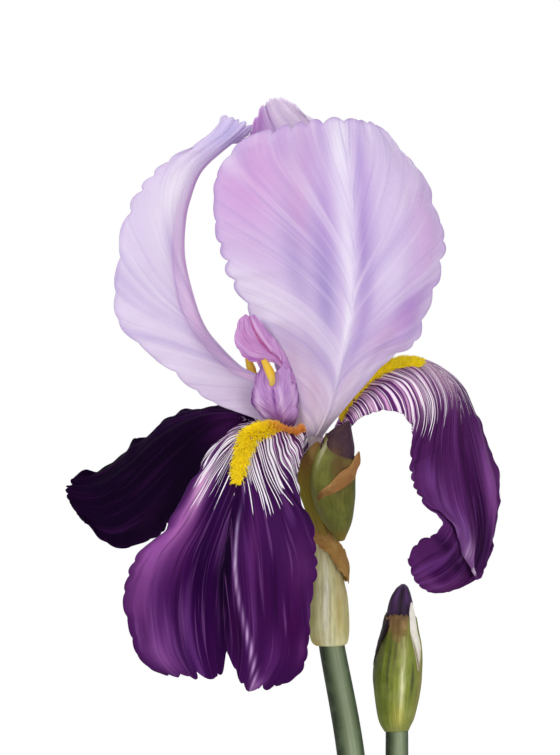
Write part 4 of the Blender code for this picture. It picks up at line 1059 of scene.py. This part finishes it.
RIGHT_FALL_DABS_WITH_PAINTED_SHADOW = [
    (0.42, -0.1, 0.06, 0.3, 0.7, "#8d5a94"), (0.56, -0.5, 0.08, 0.4, 0.7, "#43144a"),
    (0.63, -0.75, 0.06, 0.12, 0.7, "#76408a"), (0.66, -0.45, 0.08, 0.10, 0.6, "#511f5c"),
    (0.66, -0.10, 0.14, 0.10, 0.8, "#320639"), (0.78, 0.05, 0.10, 0.12, 0.9, "#280232"),
    (0.68, 0.55, 0.10, 0.22, 0.9, "#864e92"), (0.74, 0.65, 0.08, 0.20, 0.8, "#7e4186"),
    (0.72, -0.70, 0.05, 0.14, 0.7, "#6b3a7c"), (0.73, -0.40, 0.06, 0.08, 0.6, "#6a2f78"),
    (0.82, -0.55, 0.05, 0.08, 0.8, "#7e4c8a"), (0.85, -0.35, 0.05, 0.05, 0.8, "#9a6ca4"),
    (0.83, -0.12, 0.05, 0.08, 0.6, "#562c5e"), (0.83, 0.45, 0.06, 0.16, 0.8, "#2f093d"),
    (0.90, -0.80, 0.05, 0.25, 0.8, "#4a1e54"), (0.94, -0.45, 0.05, 0.2, 0.8, "#33063f"),
    (0.93, 0.05, 0.05, 0.2, 0.8, "#682b68"), (0.97, -0.2, 0.02, 0.6, 0.6, "#6c3a74"),
    (0.24, -0.12, 0.13, 0.16, 0.95, "#c9a21c"), (0.80, 0.16, 0.14, 0.14, 0.95, "#1f0129"),
    # These two thin dark lines are painted shadow cast on the blade by the hanging flap's edge.
    (0.86, -0.72, 0.02, 0.3, 0.9, "#2a0a36"), (0.885, -0.35, 0.02, 0.25, 0.9, "#2a0a36"),
]


def front_tip(v):
    """How far the tip reaches at v: two lobes, a deep notch between them at the midrib, and small rips
    that cut in steeply from one side."""
    notch = -7.0 * np.exp(-np.abs(v / np.where(v < 0, 0.05, 0.16)) ** 1.3)
    for place, depth in ((-0.72, 1.8), (-0.46, 2.6), (-0.16, 1.8), (0.66, 2.2), (0.86, 1.6)):
        notch = notch - depth * np.exp(-np.abs((v - place) / np.where(v < place, 0.02, 0.07)))
    right_lobe, left_lobe = (np.sin(np.pi * np.clip(way * v, 0, 1)) ** 0.7 for way in (1, -1))
    return notch + 3.2 * right_lobe + 1.6 * left_lobe


# The falls are velvet: papillae swallow the light, so they stay dark with hardly any shine, and broad and
# fine streaks of near-black and of lighter purple run down them. The haft is bare of velvet, pale and
# combed.
fall_finish = dict(
    fine=[(0.8, 30.0, "#1a0126", 0.50, 0.76, 0.45), (0.7, 26.0, "#8a5299", 0.56, 0.82, 0.40)],
    broad=[(4.4, 50.0, "#1b0129", 0.50, 0.76, 0.50), (3.4, 40.0, "#7b4190", 0.56, 0.80, 0.40)],
    glow="#c9a2dd", sheen=0.0, shine=0.05,
)
front_skin = petal_skin(
    "purple_velvet_petal_front", 100.0,
    haft=(0.49, 0.15, 0.37, ("#3b0d42", "#b874b6", "#f8eef8"), 0.47, 0.525), **fall_finish,
)
right_skin = petal_skin(
    "purple_velvet_petal_right", 118.0,
    haft=(0.50, 0.20, 0.24, ("#5c2767", "#dcaad2", "#fbeaf6"), 0.415, 0.545), **fall_finish,
)
# This darker copy of the velvet, with weaker light streaks, is painted shade for the left fall at the back.
left_shaded_skin = petal_skin(
    "purple_velvet_petal_left_painted_shade", 80.0,
    haft=(0.26, 0.22, 0.5, ("#3b0d42", "#8d4489", "#efe4ef"), 0.44, 0.50),
    fine=[(0.8, 30.0, "#0a0012", 0.50, 0.76, 0.4), (0.7, 26.0, "#4c1c5a", 0.56, 0.82, 0.28)],
    broad=[(4.4, 50.0, "#0a0012", 0.50, 0.76, 0.5), (3.4, 40.0, "#3c1048", 0.56, 0.80, 0.25)],
    glow="#c9a2dd", sheen=0.0, shine=0.05,
)
# reach gives how much farther the haft's strokes run at five places from the left edge to the right.
EVEN_REACH = (0, 0, 0, 0, 0)
fall_grids, fall_grains = {}, {}
for side, rails, degrees, spread, fan, wave, pleats, reach, seed, base, dabs, skin, tip_shape in (
    (
        "front", FRONT_FALL, -115, 1.75, (0.06, 2.6, 0.42, 1.2), (0.35, 0.40), (8.0, 0.42),
        (-0.12, 0.02, -0.05, 0.0, -0.16), 1.9, "#380d48", FRONT_FALL_DABS_WITH_PAINTED_LIGHT, front_skin, front_tip,
    ),
    (
        "left", LEFT_FALL, 150, 2.0, (0.04, 4.5, 0.40, 1.25), (0.7, 0.38), (8.0, 0.3),
        EVEN_REACH, 3.3, "#0e0019", LEFT_FALL_DABS_WITH_PAINTED_SHADE, left_shaded_skin, None,
    ),
    (
        "right", RIGHT_FALL, 5, 2.0, (0.01, 4.5, 0.46, 1.25), (0.3, 0.42), (9.0, 0.3),
        EVEN_REACH, 5.2, "#4b1c56", RIGHT_FALL_DABS_WITH_PAINTED_SHADOW, right_skin, None,
    ),
):
    shape, u, v, grain = petal(
        claw(rails, degrees, 2.9, 1), spread_from(5.85, degrees, -5.0), 161, 221, spread, fan,
        (5.4, 1.15), wave, pleats, 0.0, seed, tip_shape,
    )
    grain[..., 1] -= np.interp(v, (-1, -0.5, 0, 0.5, 1), reach)
    fall_grids[side], fall_grains[side] = shape, grain
    petal_piece(
        f"{side}_fall_petal", shape, u, v, grain, base, dabs, PETAL_THICKNESS, skin,
        f"{side}_fall",
    )


def look_up(layer, u, v):
    """A petal's grid of values read at (u, v), linear between its points."""
    row = np.clip(u * (layer.shape[0] - 1), 0, layer.shape[0] - 1.001)
    column = np.clip(0.5 * (v + 1) * (layer.shape[1] - 1), 0, layer.shape[1] - 1.001)
    i, j = row.astype(int), column.astype(int)
    a, b = (row - i)[..., None], (column - j)[..., None]
    upper = (1 - b) * layer[i, j] + b * layer[i, j + 1]
    return (1 - a) * upper + a * ((1 - b) * layer[i + 1, j] + b * layer[i + 1, j + 1])


# The right fall's blade is creased: its near half hangs free in a point over the curled tip behind it.
# The flap is the blade's own surface between two edges, lifted towards the viewer by more and more on the
# way down.
right_blade = fall_grids["right"]
facing_out = np.cross(np.gradient(right_blade, axis=0), np.gradient(right_blade, axis=1))
facing_out /= np.maximum(np.linalg.norm(facing_out, axis=2), 1e-9)[..., None]
facing_out *= -np.sign(facing_out[..., 1:2])
FLAP_TOP, FLAP_POINT = 0.56, 0.905  # places along the petal
s, u = np.meshgrid(np.linspace(0, 1, 60), np.linspace(FLAP_TOP, FLAP_POINT, 90))
near_edge = np.interp(
    u, [FLAP_TOP, 0.70, 0.745, 0.78, 0.82, 0.855, 0.885, FLAP_POINT],
    [-1, -1, -0.97, -0.88, -0.68, -0.42, 0.0, 0.24],
)
crease = np.interp(u, [FLAP_TOP, 0.68, 0.80, 0.85, 0.88, FLAP_POINT], [-0.02, -0.07, -0.12, 0.02, 0.14, 0.27])
v = near_edge + (crease - near_edge) * s
drop = (u - FLAP_TOP) / (FLAP_POINT - FLAP_TOP)
lift = (0.1 + 2.0 * drop**2) * (1 - 0.85 * s**2) + 0.25 * np.sin(9 * s + 3 * drop) * drop
# The flap's extra dabs paint pale pink and mauve highlights along its free lower edge, over the right fall's
# own dabs.
flap_dabs_with_highlights = [
    *RIGHT_FALL_DABS_WITH_PAINTED_SHADOW, (0.84, -0.30, 0.035, 0.16, 0.95, "#b58abf"),
    (0.88, 0.05, 0.025, 0.14, 1.0, "#e6cfe8"), (0.86, -0.12, 0.03, 0.08, 0.8, "#8f5c9b"),
    (0.78, -0.45, 0.05, 0.10, 0.8, "#7a4c92"), (0.80, -0.75, 0.03, 0.12, 0.9, "#8e5f9f"),
]
flap = look_up(right_blade, u, v) + look_up(facing_out, u, v) * lift[..., None]
petal_piece(
    "right_fall_hanging_flap", flap, u, v, look_up(fall_grains["right"], u, v), "#54235f", flap_dabs_with_highlights, 0.3,
    right_skin, "right_fall",
)


# ---- Beards --------------------------------------------------------------------------------------
# A ridge of soft, short hairs along the midrib of each fall: orange in the throat, then bright yellow,
# leaning towards the tip. Hairs this fine are drawn 0.38 mm thick so that they show.

HAIR_RADIUS = 0.19

# Beard hairs are soft, full of colour and almost without shine. They also glow faintly in their own colour,
# as painted light that brightens the beard.
hair_skin_with_painted_glow = bpy.data.materials.new("beard_hair")
hair_skin_with_painted_glow.use_nodes = True
tree = hair_skin_with_painted_glow.node_tree
shader = tree.nodes["Principled BSDF"]
paint = add_node(tree, "ShaderNodeAttribute", attribute_name="paint")
tree.links.new(paint.outputs["Color"], shader.inputs["Base Color"])
shader.inputs["Roughness"].default_value = 0.6
shader.inputs["Specular IOR Level"].default_value = 0.1
tree.links.new(paint.outputs["Color"], shader.inputs["Emission Color"])
shader.inputs["Emission Strength"].default_value = 0.17  # painted glow in the hairs' own colour


def hairs(roots, ways, lengths, root_radius, bend):
    """Tapered hairs, each a bent three-sided spike: rings of radius r (1 - s)^0.7 at root + way s + bend
    s^2."""
    rng = np.random.default_rng(7)
    count = len(roots)
    side = np.cross(ways, rng.normal(size=(count, 3)))
    side /= np.linalg.norm(side, axis=1)[:, None]
    other = np.cross(ways, side)
    s = np.array([0.0, 0.35, 0.7, 1.0])[None, :, None]
    spine = roots[:, None] + lengths[:, None, None] * (ways[:, None] * s + bend[:, None] * s**2)
    w = np.arange(3) * 2 * np.pi / 3
    ring = side[:, None] * np.cos(w)[None, :, None] + other[:, None] * np.sin(w)[None, :, None]
    radius = root_radius * np.array([1.0, 0.85, 0.6, 0.18])[None, :, None, None]
    points = spine[:, :, None] + radius * ring[:, None]
    index = np.arange(count * 12).reshape(count, 4, 3)
    ahead = np.roll(index, -1, axis=2)
    quads = np.stack([index[:, :-1], ahead[:, :-1], ahead[:, 1:], index[:, 1:]], axis=-1).reshape(-1, 4)
    ends = np.vstack([index[:, 0, ::-1], index[:, -1]])
    return points.reshape(-1, 3), quads.tolist() + ends.tolist()


def beard(name, side, start, end, width, number, colours, seed, shift=(0.0, 0.0)):
    """Hairs rooted on a strip of the fall, width mm to each side, that runs from u = start to end while v
    goes from shift[0] to shift[1]. They lean to the tip and outwards, and the colours are for throat,
    body and points."""
    grid = fall_grids[side]
    rng = np.random.default_rng(seed)
    rows, columns = grid.shape[:2]
    along = np.gradient(grid, axis=0)
    along /= np.linalg.norm(along, axis=2)[..., None]
    normal = np.cross(along, np.gradient(grid, axis=1))
    normal /= np.maximum(np.linalg.norm(normal, axis=2), 1e-9)[..., None]
    t = rng.random(number)
    row = ((start + (end - start) * t) * (rows - 1)).astype(int)
    spacing = np.linalg.norm(np.diff(grid, axis=1), axis=2).mean(axis=1)[row]
    half = width * (0.55 + 0.45 * np.sin(np.pi * np.clip(t * 0.9 + 0.1, 0, 1)))
    lateral = np.clip(rng.normal(0, 0.45, number), -1, 1) * half
    middle = 0.5 + 0.5 * (shift[0] + (shift[1] - shift[0]) * t)
    column = ((columns - 1) * middle + lateral / spacing).round().astype(int).clip(0, columns - 1)
    across = np.gradient(grid, axis=1)[row, column]
    across /= np.linalg.norm(across, axis=1)[:, None]
    lean = normal[row, column] + 0.75 * along[row, column] + (lateral / width * 0.7)[:, None] * across
    lean += 0.25 * rng.normal(size=(number, 3))
    lean /= np.linalg.norm(lean, axis=1)[:, None]
    tall = (2.1 + 0.9 * rng.random(number)) * (1.0 - 0.35 * np.abs(lateral) / width)
    tall = tall * (0.7 + 0.3 * np.sin(np.pi * t))
    points, faces = hairs(grid[row, column], lean, tall, HAIR_RADIUS, 0.3 * along[row, column])
    mesh = bpy.data.meshes.new(name)
    mesh.from_pydata((points / 1000).tolist(), [], faces)
    mesh.shade_smooth()
    throat, body, point = (np.array(linear(code)[:3]) for code in colours)
    mixed = np.clip((t - 0.12) / 0.22, 0, 1)[:, None]
    root = throat * (1 - mixed) + body * mixed
    root = root * (0.62 + 0.5 * rng.random((number, 1)))
    shade = np.array([0.85, 1.0, 1.0, 1.0])[None, :, None, None]
    lighter = np.array([0.0, 0.1, 0.25, 0.35])[None, :, None, None]
    tones = (root[:, None, None] * shade * (1 - lighter) + point * lighter) * np.ones((1, 4, 3, 1))
    tint = mesh.color_attributes.new("paint", "FLOAT_COLOR", "POINT")
    tint.data.foreach_set("color", np.hstack([tones.reshape(-1, 3), np.ones((len(points), 1))]).ravel())
    made = bpy.data.objects.new(name, mesh)
    bpy.context.scene.collection.objects.link(made)
    settle(made, hair_skin_with_painted_glow, f"{side}_beard")


yellow, throat_gold = ("#e6c21e", "#f8dc00", "#fbee50"), ("#e0913c", "#fbdc00", "#fbee48")
throat_orange = ("#e08f38", "#d9853a", "#f0b868")
beard("front_beard_hairs", "front", 0.13, 0.455, 2.6, 2400, throat_gold, 11)
beard("front_beard_throat_hairs", "front", 0.17, 0.085, 1.0, 800, throat_orange, 14, (0.0, 0.95))
beard("right_beard_hairs", "right", 0.10, 0.345, 2.8, 2600, yellow, 12, (-0.2, -0.2))
beard("left_beard_hairs", "left", 0.05, 0.17, 1.4, 500, yellow, 13)


# ---- Style arms and stamens ----------------------------------------------------------------------
# Over each fall a petal-like style arm in orchid mauve, hooded over its stamen and ending in a ruffled
# crest with a magenta rib; under it a pale filament carries a long anther dusted with yellow pollen.

LEFT_STYLE = (
    [(1.9, -0.9, 0.3), (5.4, -1.7, 7), (9.4, -2.4, 13), (13, -3, 20), (17, -3.6, 26), (19, -2.6, 31)],
    [(2.1, 0, 0.3), (5.2, 0, 7.5), (9, 0, 14), (12.4, 0, 21), (15.5, 0, 27), (18, 0, 33)],
    [(1.9, 0.9, 0.3), (5.4, 1.7, 7), (9.4, 2.4, 13), (13, 3, 20), (17, 3.6, 26), (19, 2.6, 31)],
)
RIGHT_STYLE = (
    [(1.6, -1.1, 0.3), (3.4, -1.7, 8), (5.8, -2.5, 15), (10, -3, 22), (15, -3.6, 28), (18, -2.6, 33)],
    [(1.8, 0, 0.3), (3.1, 0, 8), (5.4, 0, 16), (9.4, 0, 23), (13.6, 0, 29), (17, 0, 35)],
    [(1.6, 1.1, 0.3), (3.4, 1.7, 8), (5.8, 2.5, 15), (10, 3, 22), (15, 3.6, 28), (18, 2.6, 33)],
)


def outward(rail, degrees):
    """Points given as (out, side, up), turned about +z to leave the heart at that angle."""
    out, side, up = np.asarray(rail, float).T
    c, s = math.cos(math.radians(degrees)), math.sin(math.radians(degrees))
    return np.stack([out * c - side * s, out * s + side * c, up], axis=1)


# Style arms are firmer petals: orchid mauve with close veins and a light sheen.
style_skin = petal_skin(
    "orchid_style_tissue", 40.0,
    fine=[(0.8, 9.0, "#8a4a9a", 0.5, 0.76, 0.45), (0.7, 8.0, "#f0d6ee", 0.55, 0.8, 0.45)],
    broad=[(2.6, 18.0, "#a064ac", 0.5, 0.8, 0.45), (2.5, 16.0, "#dcb9e2", 0.5, 0.8, 0.45)],
    glow="#f2c9ee", relief=0.3,
)
CREST = (
    [
        (-4.8, -11, 17.9), (-7.3, -12.5, 20.7), (-10.6, -14.5, 22.2), (-13.4, -16.5, 21.6),
        (-17.4, -18, 23.3), (-19.4, -18.2, 26.6), (-19.6, -17.8, 30.2), (-18.6, -17, 33.3),
        (-16.8, -16.4, 34.9),
    ],
    [
        (-3.9, -11, 16.2), (-5.6, -12, 19.6), (-7.8, -13, 22.7), (-10.1, -14, 24.6), (-12.3, -15, 26.9),
        (-14.3, -16, 30.2), (-15.8, -16.2, 34.4),
    ],
    [
        (-2.2, -9, 15.7), (-3.3, -10, 19), (-5.3, -11, 22.6), (-6.9, -12, 25.7), (-9.3, -13, 28.8),
        (-12.1, -15, 32.1), (-14.4, -16, 34.9),
    ],
)
# The pale dabs beside the crest's magenta rib are painted highlights.
crest_dabs_with_highlights = [
    (0.45, 0.0, 0.30, 0.10, 0.9, "#97357a"), (0.75, 0.0, 0.22, 0.08, 0.9, "#a8417a"),
    (0.62, 0.22, 0.2, 0.07, 0.6, "#e6c2e2"), (0.85, 0.25, 0.12, 0.12, 0.6, "#e3bfe4"),
    (0.70, -0.6, 0.20, 0.35, 0.7, "#bf84b9"), (0.45, -0.9, 0.12, 0.12, 0.7, "#9a4fa0"),
    (0.80, -0.9, 0.2, 0.12, 0.6, "#cf9fd0"), (0.15, 0.3, 0.15, 0.6, 0.8, "#a771af"),
    (0.35, 0.9, 0.15, 0.3, 0.6, "#b98ac0"),
]
HOOD = (
    [
        (-7, -8, 4.8), (-12.3, -10, 6.8), (-14.9, -11, 10.4), (-15, -11.5, 13.4), (-13.9, -12, 17.4),
        (-12.3, -12.5, 21.2),
    ],
    [(-6.0, -8.5, 3.8), (-7.2, -12, 7.2), (-8, -14, 11.8), (-8.5, -14.2, 15.1), (-8.8, -13.6, 19.0)],
    [
        (-4.6, -8, 3.2), (-2.9, -8.5, 5.2), (-2.1, -8.5, 9.8), (-2.4, -8.8, 13.2), (-3.2, -9.8, 17.4),
        (-6.0, -12, 22.6),
    ],
)
# The pale line just inside the hood's left rim is a painted highlight.
hood_dabs_with_highlight = [
    (0.35, -1.0, 0.5, 0.10, 0.95, "#4d1b5b"), (0.08, -0.4, 0.10, 0.8, 0.9, "#572765"),
    (0.10, 0.7, 0.10, 0.5, 0.9, "#3f1a52"), (0.35, -0.78, 0.25, 0.10, 0.9, "#e4cdea"),
    (0.45, -0.45, 0.22, 0.14, 0.8, "#a977b8"), (0.28, -0.1, 0.12, 0.30, 0.8, "#8a56a0"),
    (0.60, -0.15, 0.25, 0.07, 0.95, "#7a4192"), (0.55, 0.15, 0.25, 0.10, 0.9, "#dcc0e6"),
    (0.50, 0.45, 0.3, 0.10, 0.7, "#b186c0"), (0.55, 0.72, 0.3, 0.12, 0.8, "#d2abd8"),
    (0.55, 1.0, 0.4, 0.09, 0.9, "#6b3779"), (0.92, -0.5, 0.1, 0.4, 0.6, "#8e5fa4"),
]
left_arm = [outward(rail, 150) for rail in LEFT_STYLE]
right_arm = [outward(rail, 5) for rail in RIGHT_STYLE]
for name, side, rails, dabs, base, hem, seed in (
    ("front_style_crest", "front", CREST, crest_dabs_with_highlights, "#c08ac2", (3.2, 0.5), 2.2),
    ("front_style_hood", "front", HOOD, hood_dabs_with_highlight, "#bb8ec9", (4.0, 0.1), 1.2),
    ("left_style_arm_petal", "left", left_arm, crest_dabs_with_highlights, "#c08ac2", (3.0, 0.3), 3.1),
    ("right_style_arm_petal", "right", right_arm, crest_dabs_with_highlights, "#c08ac2", (3.0, 0.3), 4.4),
):
    shape, u, v, grain = petal(
        rails, (0, 0, 0), 81, 101, 2.0, (0.3, 0.5, 0.9, 0.9), hem, (0.25, 1.1), (7.0, 0.12), -0.25, seed,
    )
    petal_piece(
        name, shape, u, v, grain, base, dabs, 0.5, style_skin, f"{side}_style_arm",
    )

STAMENS = {
    "front": [
        (-2, -3, 1.2), (-6, -8, 8), (-9.4, -13.2, 14.5), (-9.5, -15.4, 16.6), (-10.2, -16.6, 19.2),
        (-11.9, -17.2, 22.4),
    ],
    "left": [
        (-3.4, 1.9, 0.6), (-6.7, 3.9, 6.5), (-10.9, 6.3, 12), (-14.4, 8.3, 18), (-15.4, 8.9, 20),
        (-16.5, 9.5, 23),
    ],
    "right": [
        (3.9, 0.3, 0.6), (5.3, 0.5, 7), (7.6, 0.7, 13), (11.3, 1.0, 19), (13, 1.1, 21), (15.5, 1.4, 24.5),
    ],
}
# Pollen is a dry dust: matt, grainy and bright yellow.
pollen = plant_skin(
    "anther_with_pollen", "#e0a01e", "#fff0b0", pitch=0.5, length=3.0, amount=0.4, roughness=0.8, relief=0.6,
)
stamen_dabs = [
    (0.2, 0, 0.42, 9, 1.0, "#e3dbc4"), (0.8, -0.2, 0.2, 0.5, 0.6, "#ffdc5a"),
    (0.8, 0.8, 0.3, 0.3, 0.5, "#e0a324"),
]
for side, rail in STAMENS.items():
    shape = tube(HEART + np.array(rail), [0.5, 0.5, 0.5, 0.9, 1.25, 0.75], 24, count=70)
    round_piece(
        f"{side}_filament_and_anther", shape, "#f6c63a", stamen_dabs, pollen, f"{side}_stamen",
    )


# ---- Closed bud ----------------------------------------------------------------------------------
# The second stem's bud: two green valves overlapping round the furled petals, the near one edged with a
# dry, cream, papery margin at the right and a dark purple line at the left, with the purple tip standing
# out of them.

BUD_FOOT = np.array([5.2, 2.0, 205.6])
bud_line = BUD_FOOT + np.array(
    [
        (0, 0, 0.5), (-0.2, 0, 4.4), (0, 0, 12.8), (0.1, 0, 17), (0.5, 0, 21.2), (0.8, 0, 25.4),
        (1.0, 0, 29.6), (1.1, 0, 33.6),
    ]
)
bud_swell = [3.4, 5.1, 6.5, 6.75, 6.5, 5.9, 4.9, 4.2]
sheath = tube(bud_line, bud_swell, 120, count=130)
lie = facing(sheath)
w = np.linspace(0, 2 * np.pi, 121)[None, :-1]
# The mouth is ragged and dips behind; the near valve overlaps the far one along a seam at the right.
dip = 1.2 + 0.9 * np.sin(w) + 0.5 * np.sin(7 * w + 0.4) + 0.5 * np.abs(np.sin(11 * w + 1))
dip -= 0.9 * np.exp(-((w - 3.3) / 0.3) ** 2)
sheath[..., 2] -= dip * np.clip((lie[..., 1] - 0.75) / 0.25, 0, 1) ** 1.5
out = sheath - sheath.mean(axis=1, keepdims=True)
out[..., 2] = 0
out /= np.linalg.norm(out, axis=2)[..., None]
seam = lie[..., 0] - (0.62 - 0.25 * lie[..., 1])
step = 0.35 / (1 + np.exp(-seam / 0.03)) * (lie[..., 2] > 0) * np.clip(lie[..., 1] / 0.3, 0, 1)
sheath += out * (step + 0.08 * np.sin(21 * w))[..., None]
valve_dabs = [
    (0.45, -0.70, 0.35, 0.20, 0.8, "#6a7a22"), (0.60, -0.60, 0.2, 0.06, 0.7, "#91a238"),
    (0.55, -0.42, 0.20, 0.05, 0.9, "#343a18"), (0.62, -0.72, 0.16, 0.04, 0.6, "#4c5422"),
    (0.38, 0.20, 0.36, 0.13, 1.0, "#ecebb8"), (0.30, -0.10, 0.25, 0.12, 0.6, "#a3ac4a"),
    (0.72, 0.12, 0.12, 0.22, 0.7, "#c2bb80"), (0.12, 0.10, 0.12, 0.35, 0.8, "#cfc45c"),
    (0.70, -0.18, 0.18, 0.05, 0.8, "#5a4c34"), (1.00, -0.15, 0.17, 0.60, 1.0, "#86694a"),
    (0.86, 0.05, 0.08, 0.14, 0.6, "#c7a877"), (0.99, 0.2, 0.05, 0.3, 0.6, "#6d4f45"),
    (0.45, 0.60, 0.12, 0.05, 0.9, "#2b2618"), (0.40, 0.90, 0.45, 0.12, 0.7, "#8a7d42"),
    (0.76, -1.02, 0.20, 0.26, 1.0, "#1b1016"), (0.52, -0.99, 0.12, 0.10, 0.8, "#3a3426"),
    (0.10, 0.8, 0.12, 0.2, 0.6, "#7c7c3c"), (0.02, 0, 0.04, 9, 0.6, "#8b8a4a"),
]
# These valves are younger than the side bud's: fresher green, with longer fibres and a softer bloom.
fresh_valve_skin = plant_skin("bud_valve_skin_fresh", "#55602a", "#a9ad68", 0.7, 14.0, 0.45, 0.45, 0.35)
round_piece(
    "bud_green_valves", sheath, "#7d882f", valve_dabs, fresh_valve_skin, "bud_spathe",
    ("valve wall", 0.5),
)

margin, t, s = around_axis(
    bud_line, bud_swell, 28, 70, 30, 64, lambda t: 0.52 + 0.20 * np.abs(2 * t - 1.4) ** 1.3,
    lambda t: 1.0 - 0.16 * np.abs(2 * t - 0.5) ** 1.5, lambda t, s: 0.35 + 0.2 * np.sin(3.1 * t) + 0.2 * s**3,
)
margin[..., 2] += 3.4 * s**2 * np.clip(1 - np.abs(2 * t - 0.5) ** 2, 0, 1)
margin_dabs = [(0.3, 0.9, 0.5, 0.25, 0.6, "#c9b994"), (0.1, 0.5, 0.12, 0.6, 0.8, "#6b5a3c")]
# The margin is a thin skin that has dried white and matt, with faint tan fibres.
margin_skin = plant_skin("cream_papery_margin", "#b5a37c", "#fbf7ea", 0.4, 8.0, 0.35, 0.6, 0.5)
dry_piece(
    "bud_papery_margin", margin, "#fffaf0", margin_dabs, s, t, (t * 0.5, s * 0.5, t), 0.3, margin_skin,
    "bud_spathe",
)

strip, t, s = around_axis(
    bud_line, bud_swell, 24, 60, -112, -40, lambda t: 0.55 + 0.36 * t**1.8 + 0.006 * np.sin(60 * t),
    lambda t: 0.975 - 0.02 * np.sin(9 * t), lambda t, s: 0.28 + 0.16 * t + 0.10 * np.sin(30 * s) * t,
)
strip_dabs = [
    (0.5, 1.0, 0.6, 0.04, 0.9, "#a08a72"), (0.98, 0.6, 0.04, 0.9, 0.7, "#8a7868"),
    (0.3, 0.4, 0.2, 0.2, 0.6, "#33203a"),
]
dry_piece(
    "bud_dark_margin", strip, "#1e0d16", strip_dabs, s, t, (t * 0.5, s * 0.5, t), 0.3, furled_skin,
    "bud_spathe",
)


def dry_low(t):
    """Place along the bud where the mouth's dry edge starts: lowest past the middle, and torn all
    along."""
    torn = 0.035 * np.abs(np.sin(17 * t + 0.6)) + 0.02 * np.abs(np.sin(41 * t))
    return 0.90 - 0.10 * np.exp(-(((t - 0.55) / 0.22) ** 2)) - torn


mouth_edge, t, s = around_axis(
    bud_line, bud_swell, 90, 24, -62, 34, dry_low,
    lambda t: 0.985 - 0.02 * np.abs(np.sin(14 * t)) + 0.025 * np.sin(3.1 * t),
    lambda t, s: 0.10 + 0.28 * s + 0.07 * np.sin(33 * t),
)
edge_dabs = [
    (0.95, 0.6, 0.15, 0.3, 0.7, "#5d4540"), (0.5, 0.75, 0.3, 0.1, 0.8, "#b89a6c"),
    (0.6, 0.2, 0.4, 0.12, 0.7, "#9a6f66"), (0.05, 0.5, 0.25, 9, 0.8, "#8d8445"),
]
dry_piece(
    "bud_dry_mouth_edge", mouth_edge, "#74603c", edge_dabs, s, t, (t, s * 0.2, t), 0.15, papery,
    "bud_spathe",
)

core_line = BUD_FOOT + np.array(
    [
        (0, 0, 0.5), (-0.2, 0, 4.4), (0.1, 0, 14), (0.5, 0, 21.2), (1.0, 0, 29.6), (1.1, 0, 33.5),
        (1.3, 0, 37.0), (1.6, 0, 39.4), (1.8, 0, 41.0), (1.8, 0, 41.9),
    ]
)
core = furled(core_line, [2.2, 3.8, 5.3, 5.2, 4.4, 3.95, 3.3, 2.4, 1.5, 0.5], 84, 140, 1.4, 0.10)
core_dabs = [
    (0.90, -0.55, 0.12, 0.22, 0.9, "#70488c"), (0.86, -0.05, 0.12, 0.12, 1.0, "#0e0618"),
    (0.90, 0.45, 0.12, 0.25, 0.9, "#6c4480"), (1.0, 0.0, 0.04, 9, 0.6, "#6a5878"),
    (0.80, 0.4, 0.06, 0.3, 0.5, "#2a1734"),
]
round_piece(
    "bud_furled_petals", core, "#3a2248", core_dabs, furled_skin, "bud_petals",
)
